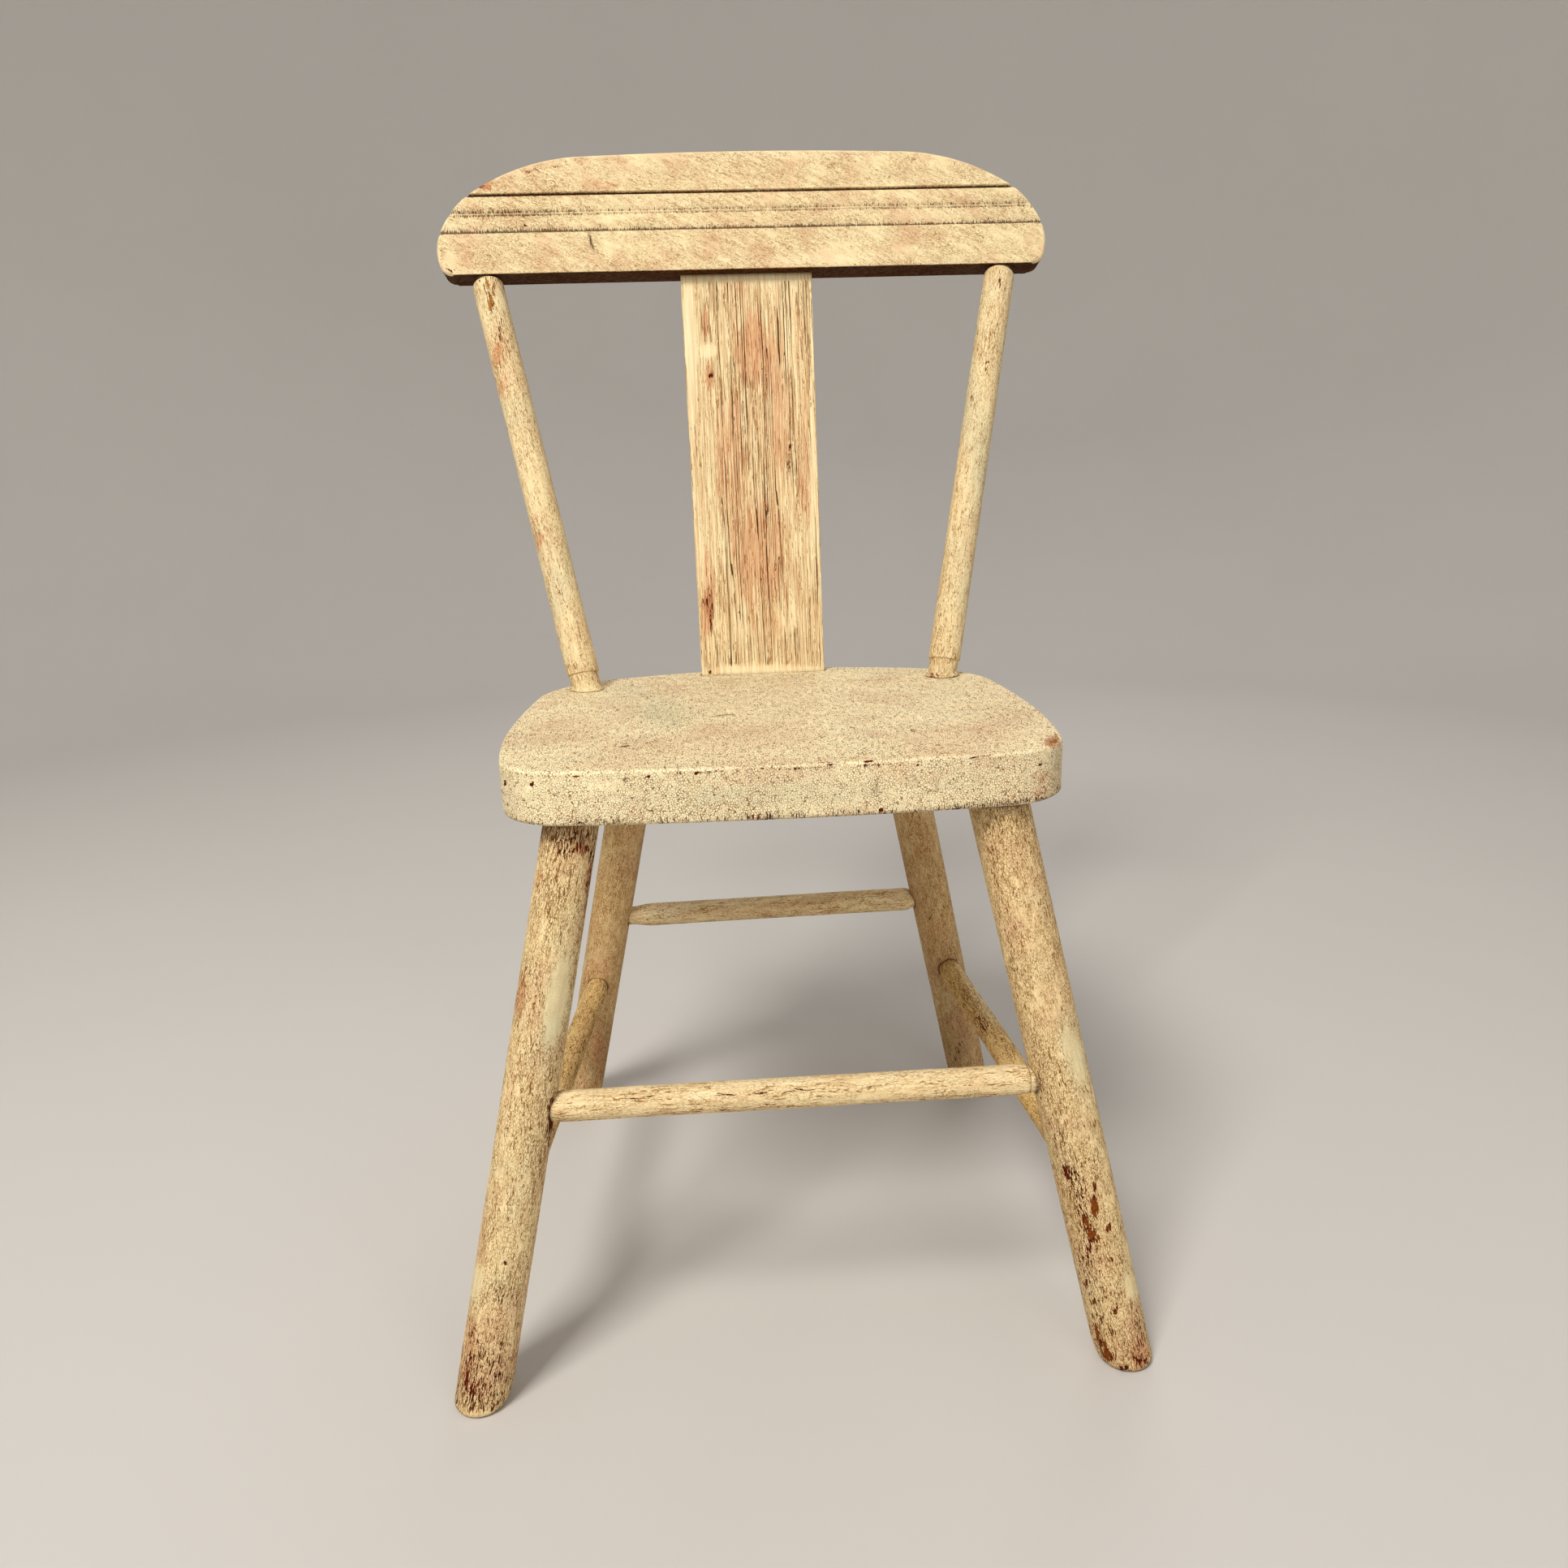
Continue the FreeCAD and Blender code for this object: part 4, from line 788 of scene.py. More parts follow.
RUNG_DABS = {
    "front_stretcher": {
        "wear": [(1215, 1354, 36, 6, -3, 0.30), (790, 1352, 70, 6, -3, 0.20),
                 (900, 1364, 90, 5, -3, 0.16), (950, 1345, 110, 5, -3, 0.20),
                 (898, 1356, 10, 5, 0, 0.16), (1072, 1340, 40, 3, -3, 0.16),
                 (1200, 1336, 70, 4, -3, 0.14)],
        "rub": [(770, 1352, 70, 14, -3, 0.08), (1130, 1330, 90, 8, -3, 0.12)],
        "tone": [], "crk": [(760, 1355, 70, 16, -3, 0.15), (1000, 1345, 130, 12, -3, 0.1),
                            (880, 1345, 60, 10, -3, -0.25)],
        # painted highlights along the top
        "pale_and_highlight": [(800, 1338, 60, 8, -3, 0.35), (950, 1333, 90, 8, -3, 0.35),
                 (1120, 1322, 80, 8, -3, 0.3), (870, 1350, 40, 8, -3, 0.3)]},
    "back_stretcher": {
        "wear": [], "rub": [(950, 1115, 120, 6, -4, 0.3)],
        "tone": [(815, 1128, 26, 12, 0, -0.3)], "crk": [(980, 1118, 120, 12, -4, 0.15)],
        # painted highlights along the top
        "pale_and_highlight": [(900, 1112, 90, 8, -4, 0.35), (822, 1122, 50, 12, -4, 0.55), (1080, 1108, 50, 8, -4, 0.2)]},
    "left_side_stretcher": {"wear": [(712, 1290, 12, 50, 8, 0.2)],
                            "rub": [(718, 1270, 14, 60, 8, 0.34)], "tone": [], "crk": [],
                            # painted shade on this stretcher
                            "dirt_and_shade": [(712, 1290, 30, 90, 8, 0.20)]},
    "right_side_stretcher": {"wear": [(1212, 1262, 12, 20, -40, 0.35)],
                             "rub": [], "tone": [], "crk": [],
                             # painted light on this stretcher's side
                             "pale_and_highlight": [(1205, 1225, 10, 60, -32, 0.5)]},
}


def make_rung(name, seed):
    la, za, lb, zb, dia, end, taper, _, _ = RUNGS[name]
    A, B = RUNG_LINE[name]
    L = np.linalg.norm(B - A)
    r, q, ten = dia / 2, end / 2, 12.0
    collar = name == "front_stretcher"
    # the side stretchers' rear ends are rounded like a bullet
    sh, sh2 = (3.4, 1.6) if "side" in name else ((2.6, 1.6) if "back" in name else (1.6, 1.6))
    st = [(-ten, 1.5, 0, 0), (-ten, 4.2, 0, 0), (-ten + 0.8, 5.0, 0, 0),
          (-6.0, 5.0, 0, 0), (-3.0, 5.0, 0, 0), (-1.0, 5.0, 0, 0), (0.0, 5.0, 0, 0)]
    st.append((0.0, 5.15, 0, 0))
    dr = min(sh, q - 5.3)
    for a in np.linspace(0, 90, 9):
        st.append((sh * (1 - math.cos(math.radians(a))),
                   q - dr + dr * math.sin(math.radians(a)), 0, 0))
    n = int((L - sh - sh2) / 1.2)
    for s in np.linspace(sh, L - sh2, n)[1:-1]:
        rise = min(s - sh, (L - sh2 - s) * (3.0 if "back" in name else 1.0))
        st.append((s, q + (r - q) * float(smooth(0, taper, rise)), 0, 0))
    for a in np.linspace(90, 0, 7):
        st.append((L - sh2 * (1 - math.cos(math.radians(a))),
                   q - sh2 + sh2 * math.sin(math.radians(a)), 0, 0))
    if collar:
        # the right end stops short, on a thick tenon
        st = st[:-5] + [(L - 0.35, 7.0, 0, 0), (L - 0.05, 6.78, 0, 0), (L + 0.6, 6.7, 0, 0),
                        (L + 1.8, 6.7, 0, 0), (L + 3.2, 6.72, 0, 0), (L + 5.0, 6.7, 0, 0),
                        (L + 7.5, 6.6, 0, 0), (L + 7.6, 5.0, 0, 0)]
    else:
        st.append((L, 5.0 + (q - sh2 - 5.0) * 0.6, 0, 0))
        st += [(L, 5.0, 0, 0), (L + 1, 5.0, 0, 0), (L + 3, 5.0, 0, 0), (L + 6, 5.0, 0, 0)]
    st += [(L + ten - 0.8, 5.0, 0, 0), (L + ten, 4.2, 0, 0), (L + ten, 1.5, 0, 0)]

    def shape(S, PH, R):
        x, y = np.cos(PH) * 8, np.sin(PH) * 8
        p = np.stack([S.ravel(), x.ravel(), y.ravel()], 1)
        d = 0.16 * fbm(p * [1 / 55, 1 / 10, 1 / 10], seed, 2) \
            + 0.08 * fbm(p * [1 / 14, 1 / 3.4, 1 / 3.4], seed + 3, 2)
        d = d.reshape(S.shape)
        body = smooth(0.5, 8.0, S) * (1 - smooth(L - 8, L - 0.5, S))
        # a whittled, slightly faceted surface near the ends
        facet = 0.10 * np.cos(PH * 7 + 1.3 * seed + 0.02 * S) \
            * (1 - smooth(4, 45, np.minimum(S, L - S))) * body
        return np.where(R > 5.3, d * body + facet, 0.0)

    a = unit(B - A)
    co, faces, gr, s, ph, nrm, a = rod(A, B, st, 72, a, a, shape)
    off, n1, n2, n3 = rod_attrs(gr, s, seed)
    dab = RUNG_DABS[name]
    rise = np.minimum(s, L - s)
    low = smooth(0.1, 0.9, -nrm[:, 2])
    wear = 0.20 + 0.12 * n1 + 0.16 * low + 0.08 * (1 - smooth(2, 14, rise)) \
        + dabs(co, nrm, dab["wear"])
    endr = np.where(s < L / 2, 1 - smooth(0.4, 2.6, s), (1 - smooth(0.2, 1.6, L - s)))
    if collar:
        endr = np.where(s > L / 2, np.exp(-((s - L) / 0.35) ** 2) * 0.9
                        + 0.9 * smooth(L + 1.4, L + 3.0, s), endr)
    # ends darkened at the joints, and the downward-facing side darker
    dirt_and_shade = 0.80 * endr * (0.9 + 0.5 * n3) + 0.22 * low * (0.5 + n3) \
        + dabs(co, nrm, dab.get("dirt_and_shade", []))
    crk = 0.48 + 0.35 * n2 + dabs(co, nrm, dab["crk"])
    # painted highlight on the upward-facing side and in the listed dabs along the tops
    pale_and_highlight = 0.12 * smooth(0.2, 0.9, nrm[:, 2]) + dabs(co, nrm, dab.get("pale_and_highlight", []))
    tone = 0.14 * n3 + dabs(co, nrm, dab["tone"])
    rub = 0.06 + 0.2 * n2 + 0.25 * low + dabs(co, nrm, dab["rub"])
    seam_and_shadow = (0.34 if collar else 0.26) * np.exp(-((nrm[:, 2] + 0.42) / 0.34) ** 2) \
        * (0.75 + 0.9 * n3)
    return build(name + "_painted", co, faces,
                 {"gr": gr + off, "wear": np.clip(wear, 0, 1), "dirt_and_shade": np.clip(dirt_and_shade, 0, 1),
                  "crk": np.clip(crk, 0, 1), "tone": np.clip(tone, -1, 1),
                  "rub": np.clip(rub, 0, 1), "pale_and_highlight": np.clip(pale_and_highlight, 0, 1),
                  "seam_and_shadow": np.clip(seam_and_shadow, 0, 1)},
                 MAT["rung_side_shaded" if "side" in name else "rung"], name)


POST_DABS = {
    "left": {
        "wear": [(606, 368, 6, 30, 8, 0.52), (600, 352, 5, 16, 8, 0.34),
                 (618, 402, 6, 26, 10, 0.3), (707, 858, 10, 8, 0, 0.5),
                 (640, 500, 7, 60, 12, 0.12)],
        "rub": [(612, 438, 9, 24, 10, 0.60), (619, 476, 7, 26, 12, 0.50),
                (640, 560, 10, 90, 12, 0.25), (659, 640, 7, 18, 10, 0.50),
                (666, 667, 8, 18, 10, 0.60), (690, 770, 8, 60, 10, 0.22)],
        "tone": [(690, 720, 20, 70, 12, -0.3)],
        "crk": [(616, 450, 12, 60, 12, 0.35), (664, 655, 10, 40, 12, 0.35),
                (722, 847, 24, 13, 0, -0.35)],
        "hue": [(606, 366, 18, 50, 8, 1.3)]},
    "right": {
        "wear": [(1232, 349, 4, 14, -4, 0.48), (1217, 446, 5, 3.4, -8, 0.55),
                 (1215, 455, 2.6, 12, 8, 0.45), (1211, 360, 3, 30, -8, 0.24),
                 (1203, 407, 3, 12, -8, 0.30), (1197, 490, 3.4, 26, -8, 0.34), (1150, 832, 10, 6, 0, 0.4)],
        "rub": [(1212, 520, 12, 60, -10, 0.12)],
        "tone": [(1200, 520, 26, 130, -10, -0.45), (1180, 700, 22, 80, -8, -0.25)],
        "crk": [(1222, 430, 18, 90, -8, 0.25), (1160, 826, 26, 14, 0, -0.30)],
        "hue": [(1205, 420, 14, 110, -8, 0.5)]},
}


def make_post(side, seed):
    sg = -1 if side == "left" else 1
    A = np.array([sg * 116.4, 63.8, 329.0])
    B = np.array([sg * 175.0, 163.8, 593.5])
    L = np.linalg.norm(B - A)
    r, neck = 10.3, 9.3
    head = L - 1.8
    st = [(-17.0, 1.5, 0, 0), (-17.0, 5.6, 0, 0), (-16.0, 6.5, 0, 0), (-8, 6.5, 0.3, 0),
          (-1.2, 6.5, 1, 0), (-1.0, 9.6, 1, 0), (0.05, 10.3, 1, 0), (0.30, 10.7, 1, 0),
          (0.60, 10.9, 1, 0), (1.00, 10.85, 1, 0), (1.45, 10.55, 1, 0), (1.9, 10.1, 0.97, 0),
          (2.7, 9.65, 0.94, 0), (3.6, 9.42, 0.9, 0), (5.0, 9.32, 0.8, 0)]
    for s in (6.4, 7.8, 9.0, 9.9, 10.4):
        st.append((s, neck, 0.8 - 0.5 * (s - 5) / 5.4, 0))
    st += [(10.65, 9.55, 0.28, 0), (11.0, 10.25, 0.26, 0), (11.5, 10.4, 0.24, 0),
           (12.4, 10.3, 0.2, 0)]
    n = int((head - 4.6 - 12.4) / 1.25)
    for s in np.linspace(12.4, head - 4.6, n)[1:]:
        st.append((s, r, max(0.0, 0.2 - (s - 12.4) / 40), 0))
    for a in np.linspace(90, 0, 11)[1:]:
        st.append((head - 4.6 + 4.6 * math.cos(math.radians(a)),
                   r - 4.6 + 4.6 * math.sin(math.radians(a)), 0, 0))
    st += [(head, 5.75, 0, 0), (head + 1.0, 5.72, 0, 0), (L + 2, 5.7, 0, 0),
           (L + 17, 5.7, 0, 0), (L + 18, 4.8, 0, 0), (L + 18, 1.5, 0, 0)]
    st = [(a, (6.5 if 5.69 < b < 5.76 else b), c, d) if a > head - 0.1 else (a, b, c, d)
          for a, b, c, d in st]
    st = [x for x in st if not (x[0] == head and x[1] == 6.5)]

    def shape(S, PH, R):
        x, y = np.cos(PH) * 10, np.sin(PH) * 10
        p = np.stack([S.ravel(), x.ravel(), y.ravel()], 1)
        d = 0.15 * fbm(p * [1 / 60, 1 / 14, 1 / 14], seed, 2) \
            + 0.06 * fbm(p * [1 / 12, 1 / 4, 1 / 4], seed + 3, 2)
        d = d.reshape(S.shape)
        body = smooth(13.0, 22.0, S) * (1 - smooth(head - 7, head - 1, S))
        lip = np.exp(-((S - 1.1) / 0.9) ** 2)
        ragged = fbm(np.stack([x.ravel() / 3, y.ravel() / 3, S.ravel() * 0], 1),
                     seed + 8, 2).reshape(S.shape)
        ring = np.exp(-((S - 11.4) / 0.7) ** 2)
        return np.where(R > 6.6, d * body + lip * (0.30 * ragged - 0.15)
                        + ring * 0.22 * ragged, 0.0)

    co, faces, gr, s, ph, nrm, a = rod(A, B, st, 80, Z, unit(B - A), shape)
    off, n1, n2, n3 = rod_attrs(gr, s, seed)
    dab = POST_DABS[side]
    wear = 0.20 + 0.14 * n1 + dabs(co, nrm, dab["wear"])
    wear += 0.12 * (1 - smooth(2, 14, head - s)) * (s < head)
    dirt_and_shade = 0.55 * (1 - smooth(0.15, 0.50, s)) + 0.22 * np.exp(-((s - 10.2) / 0.8) ** 2) \
        * (0.7 + n3) + 0.75 * smooth(head - 1.2, head, s)
    dirt_and_shade += 0.15 * np.exp(-((s - 4.5) / 2.5) ** 2) * (0.6 + n2)
    crk = 0.50 + 0.35 * n2 + 0.3 * (1 - smooth(8, 26, s)) + dabs(co, nrm, dab["crk"])
    tone = 0.16 * n3 + dabs(co, nrm, dab["tone"])
    rub = 0.06 + 0.22 * n2 + dabs(co, nrm, dab["rub"])
    hue = 0.5 + 0.4 * n3 + dabs(co, nrm, dab.get("hue", []))
    return build(side + "_post_painted", co, faces,
                 {"gr": gr + off, "wear": np.clip(wear, 0, 1), "dirt_and_shade": np.clip(dirt_and_shade, 0, 1),
                  "crk": np.clip(crk, 0, 1), "tone": np.clip(tone, -1, 1),
                  "rub": np.clip(rub, 0, 1), "hue": np.clip(hue, 0, 1)},
                 MAT["post"], side + "_post")


# ---------------------------------------------------------------------------
# Seat
# ---------------------------------------------------------------------------
SEAT_DABS = {
    "hue": [(769, 920, 16, 8, 0, 0.6), (712, 957, 30, 6, 0, 0.6), (1298, 912, 22, 18, 0, 1.3)],
    "wear": [(769, 920, 8, 3.0, 0, 0.66), (776, 919, 5, 2, 0, 0.4), (813, 925, 2.6, 2.4, 0, 0.8),
             (1125, 900, 4, 2.4, 0, 0.75), (1135, 863, 4, 2.6, 0, 0.6), (655, 966, 4.6, 5, 0, 1.0),
             (798, 957, 5, 3.4, 0, 0.9), (858, 953, 7, 3.6, -20, 0.9), (885, 950, 14, 2.2, -4, 0.55),
             (930, 947, 16, 2.2, -4, 0.6), (712, 957, 16, 2.6, -2, 0.62),
             (1070, 938, 9, 2.2, -6, 0.85), (1066, 944, 2.6, 6, 20, 0.85),
             (1130, 944, 5, 3, 0, 0.7), (1040, 941, 45, 2.6, -3, 0.42), (1298, 914, 8, 5.5, 0, 0.66), (1301, 908, 4, 8, 0, 0.26),
             (623, 965, 3.4, 8, 0, 0.6), (710, 973, 2.4, 2.4, 0, 0.8), (985, 981, 3, 3, 0, 0.6),
             (1210, 932, 30, 2.2, -8, 0.42), (636, 880, 3, 3, 0, 0.5), (1282, 940, 5, 4, 0, 0.55),
             (870, 1003, 60, 3, -2, 0.30), (1100, 997, 80, 3, -4, 0.28), (1085, 997, 6, 4, 0, 0.4),
             (1270, 984, 40, 6, -14, 0.34), (700, 1012, 40, 3.5, 4, 0.30),
             (1290, 955, 10, 22, 0, 0.10), (1131, 944, 5, 3, 0, 0.5), (1302, 906, 4, 8, 0, 0.30),
             (1282, 941, 3, 3, 0, 0.5), (1288, 990, 24, 6, -20, 0.24), (758, 906, 3, 2, 0, 0.4), (1012, 908, 3, 2, 0, 0.4)],
    "rub": [(900, 905, 120, 30, -4, 0.10), (720, 890, 60, 22, 0, 0.12),
            (1160, 920, 110, 22, -6, 0.14), (1040, 936, 90, 6, -3, 0.35),
            (1285, 960, 26, 34, 0, 0.42), (1296, 914, 16, 12, 0, 0.7), (1245, 985, 60, 9, -10, 0.34), (712, 957, 20, 4, -2, 0.4)],
    "tone": [(818, 878, 44, 32, 0, -0.42), (760, 850, 60, 22, 0, -0.20), (950, 835, 90, 12, 0, -0.25),
             (1150, 850, 90, 16, 0, -0.10), (960, 980, 190, 20, -2, -0.36),
             (1180, 965, 80, 18, -8, -0.12), (900, 910, 140, 26, -4, 0.22),
             (1180, 910, 110, 26, -6, 0.30), (700, 900, 60, 22, 0, 0.22), (1035, 968, 10, 8, 0, 0.25)],
    "crk": [(652, 968, 50, 22, 0, -0.25), (745, 968, 46, 12, 0, -0.42), (840, 1000, 240, 12, -3, 0.25),
            (1250, 980, 60, 16, -10, 0.35), (900, 985, 160, 22, -2, 0.12)],
    "dirt_and_shade": [(1297, 914, 14, 9, 0, 0.26), (1303, 952, 13, 44, 0, 0.26), (1292, 988, 26, 10, -18, 0.42), (1036, 968, 7, 6, 0, 0.26), (1080, 970, 5, 16, 8, 0.26), (1128, 961, 6, 6, 0, 0.22),
             (893, 881, 16, 1.2, -4, 0.6), (880, 883, 6, 1.2, -8, 0.4), (1078, 975, 8, 4, 0, 0.2)],
    "pale_and_highlight": [(720, 972, 60, 10, -2, 0.35), (640, 985, 24, 20, 0, 0.3), (655, 950, 30, 8, 0, 0.25)],
}


def make_seat(seed=11):
    segs = [((-105, -161.9), (105, -161.9), 1154), ((105, -161.9), (139, -130.7), 38),
            ((139, -130.7), (147, -39.4), 527), ((147, -39.4), (144.5, 40.8), 1280),
            ((144.5, 40.8), (99.6, 103.0), 72), ((99.6, 103.0), (-99.6, 103.0), 266),
            ((-99.6, 103.0), (-144.5, 40.8), 72), ((-144.5, 40.8), (-147, -39.4), 1280),
            ((-147, -39.4), (-139, -130.7), 527), ((-139, -130.7), (-105, -161.9), 38)]
    pts = np.vstack([arc(a, b, r, 60)[:-1] for a, b, r in segs])
    out = resample(pts, 1.45)
    n = len(out)
    tan = np.roll(out, -1, 0) - np.roll(out, 1, 0)
    tan = tan / np.linalg.norm(tan, axis=1)[:, None]
    k = np.ones(9) / 9
    for c in range(2):
        tan[:, c] = np.convolve(np.concatenate([tan[-4:, c], tan[:, c], tan[:4, c]]), k, "valid")
    tan = tan / np.linalg.norm(tan, axis=1)[:, None]
    nor = np.stack([tan[:, 1], -tan[:, 0]], 1)          # outward
    lo, hi, T, Bt = 302.5, 329.0, 1.9, 2.0
    centre = np.array([0.0, -22.0])
    prof = []                                           # (inset, z, shrink)
    for q in (0.02, 0.08, 0.16, 0.26, 0.36, 0.46, 0.56, 0.65, 0.73, 0.80, 0.86, 0.91,
              0.95, 0.98, 1.0):
        prof.append((Bt, lo, q))
    for a in np.linspace(0, 90, 6)[1:]:
        prof.append((Bt - Bt * math.sin(math.radians(a)),
                     lo + Bt * (1 - math.cos(math.radians(a))), 1.0))
    for z in np.linspace(lo + Bt, hi - T, 17)[1:-1]:
        prof.append((0.0, z, 1.0))
    for a in np.linspace(0, 90, 9):
        prof.append((T * (1 - math.cos(math.radians(a))),
                     hi - T + T * math.sin(math.radians(a)), 1.0))
    for q in np.concatenate([1 - np.array([0.004, 0.010, 0.018, 0.027, 0.038, 0.05]),
                             np.linspace(0.935, 0.02, 52)]):
        prof.append((T, hi, q))
    rows = []
    arcpos = np.arange(n) * 1.45
    for d, z, q in prof:
        p = out - nor * d
        p = centre + (p - centre) * q
        rows.append(np.column_stack([p, np.full(n, z)]))
    co = np.vstack(rows)
    flat_top = np.array([1.0 if (abs(z - hi) < 1e-6 and d == T) else 0.0 for d, z, q in prof])
    flat_bot = np.array([1.0 if (abs(z - lo) < 1e-6 and d == Bt) else 0.0 for d, z, q in prof])
    nn = np.repeat(nor[None], len(prof), 0).reshape(-1, 2)
    ft, fb = np.repeat(flat_top, n), np.repeat(flat_bot, n)
    # the plank is not dead flat, its edges are uneven
    p3 = co / [38.0, 30.0, 30.0]
    und = 0.10 * fbm(p3, seed, 2) + 0.05 * fbm(co / 9.0, seed + 1, 2)
    ins = smooth(0.0, 6.0, 329.0 - co[:, 2] + 6.0 * ft)
    co[:, 2] += und * ft
    side = 1 - np.maximum(ft, fb)
    edge_n = fbm(np.column_stack([co[:, 0] / 7, co[:, 1] / 7, co[:, 2] / 5]), seed + 2, 3)
    push = (0.16 * edge_n - 0.05) * side
    top_edge = np.exp(-((co[:, 2] - 327.8) / 1.6) ** 2) * side
    nick = fbm(np.column_stack([co[:, 0] / 3.2, co[:, 1] / 3.2, co[:, 2] / 6]), seed + 4, 2)
    push -= top_edge * 0.55 * smooth(0.25, 0.7, nick)
    low_edge = np.exp(-((co[:, 2] - 303.4) / 1.4) ** 2) * side
    push -= low_edge * 0.5 * smooth(0.2, 0.7, nick)
    co[:, 0] += nn[:, 0] * push
    co[:, 1] += nn[:, 1] * push
    faces = [grid_faces(len(prof), n)]
    first, last = 0, (len(prof) - 1) * n
    co = np.vstack([co, [[centre[0], centre[1], lo]],
                    [[centre[0], centre[1], co[last:last + n, 2].mean()]]])
    faces += [fan(len(co) - 2, first, n, True), fan(len(co) - 1, last, n)]
    nrm = facing(co, faces)
    if nrm[-1, 2] < 0:
        nrm = -nrm
    # the caps' winding may differ from the grid's, so set the flat faces' normals
    ftv = np.concatenate([ft, [0, 1]])
    fbv = np.concatenate([fb, [1, 0]])
    nrm[ftv > 0.5] = Z
    nrm[fbv > 0.5] = -Z
    sidev = 1 - np.maximum(ftv, fbv)
    nn = np.vstack([nn, [[0, 0], [0, 0]]])
    s_ix = sidev > 0.5
    nz = np.clip((co[:, 2] - 315.75) / 13.25, -1, 1)
    nrm[s_ix] = unit_rows(np.column_stack([nn[s_ix], np.where(
        np.abs(nz[s_ix]) > 0.78, np.sign(nz[s_ix]) * (np.abs(nz[s_ix]) - 0.78) * 4, 0)]))
    z = co[:, 2]
    gr = co.copy()
    n1 = fbm(co / 42.0, seed + 21, 3)
    n2 = fbm(co / 24.0, seed + 22, 3)
    n3 = fbm(co / 14.0, seed + 23, 3)
    under = smooth(0.2, 0.9, -nrm[:, 2])
    topf = smooth(0.5, 0.95, nrm[:, 2])
    fine = fbm(co / 4.2, seed + 24, 2)
    arris = np.exp(-((z - 328.35) / 0.42) ** 2) * (1 - ftv)
    below = np.exp(-((z - 327.0) / 0.6) ** 2) * (1 - ftv)
    low_e = np.exp(-((z - 304.4) / 2.7) ** 2) * (1 - fbv)
    wear = 0.16 + 0.08 * n2 + 0.14 * np.exp(-((z - 303.5) / 1.6) ** 2) * (1 - fbv) \
        + 0.26 * below * smooth(0.1, 0.7, fine)
    wear += dabs(co, nrm, SEAT_DABS["wear"]) + 0.25 * under * (0.6 + n1)
    # listed stains and dark spots, and the underside darker
    dirt_and_shade = dabs(co, nrm, SEAT_DABS["dirt_and_shade"]) + 0.45 * under * (0.9 + 0.8 * n1)
    # darker towards the bottom of the edge
    dirt_and_shade += 0.16 * (1 - smooth(303.0, 309.0, z)) * (1 - under) * (0.5 + n3)
    for sg in (-1, 1):                                 # round the posts' feet
        A = np.array([sg * 116.4, 63.8, 329.0])
        B = np.array([sg * 175.0, 163.8, 593.5])
        gap = line_gap(co, A, B)
        dirt_and_shade += topf * (1 - smooth(10.2, 13.0, gap)) * (0.42 + 0.5 * n3)
    # painted shade under the seat round the leg tops
    for leg in FOOT:
        gap = line_gap(co, FOOT[leg], HEAD[leg])
        dirt_and_shade += under * (1 - smooth(13.5, 17.5, gap)) * 0.6
    # along the splat's foot
    bx = np.maximum(np.abs(co[:, 0]) - 42.2, 0)
    by = np.maximum(np.maximum(102.2 - co[:, 1], co[:, 1] - 110.5), 0)
    dirt_and_shade += topf * (1 - smooth(0.3, 1.9, np.hypot(bx, by))) * 0.7
    crk = 0.62 + 0.26 * n2 + 0.10 * n3 + dabs(co, nrm, SEAT_DABS["crk"]) - 0.35 * arris
    tone = 0.10 * n1 + 0.07 * topf + dabs(co, nrm, SEAT_DABS["tone"])
    rub = 0.02 + 0.10 * n2 + dabs(co, nrm, SEAT_DABS["rub"])
    # painted highlight along the top arris, and paler patches on the front
    pale_and_highlight = arris * np.clip(0.10 + 0.75 * n3 + 0.45 * fine, 0.0, 0.6) + dabs(co, nrm, SEAT_DABS["pale_and_highlight"])
    seam_and_shadow = low_e * (0.42 + 0.34 * n3) + 0.50 * below * (0.7 + 0.9 * n3)
    hue = 0.10 + 0.25 * n1 + dabs(co, nrm, SEAT_DABS["hue"])
    return build("seat_painted", co, faces,
                 {"gr": gr, "wear": np.clip(wear, 0, 1), "dirt_and_shade": np.clip(dirt_and_shade, 0, 1),
                  "crk": np.clip(crk, 0, 1), "tone": np.clip(tone, -1, 1),
                  "rub": np.clip(rub, 0, 1), "pale_and_highlight": np.clip(pale_and_highlight, 0, 1),
                  "seam_and_shadow": np.clip(seam_and_shadow, 0, 1), "hue": np.clip(hue, 0, 1)},
                 MAT["seat"], "seat")


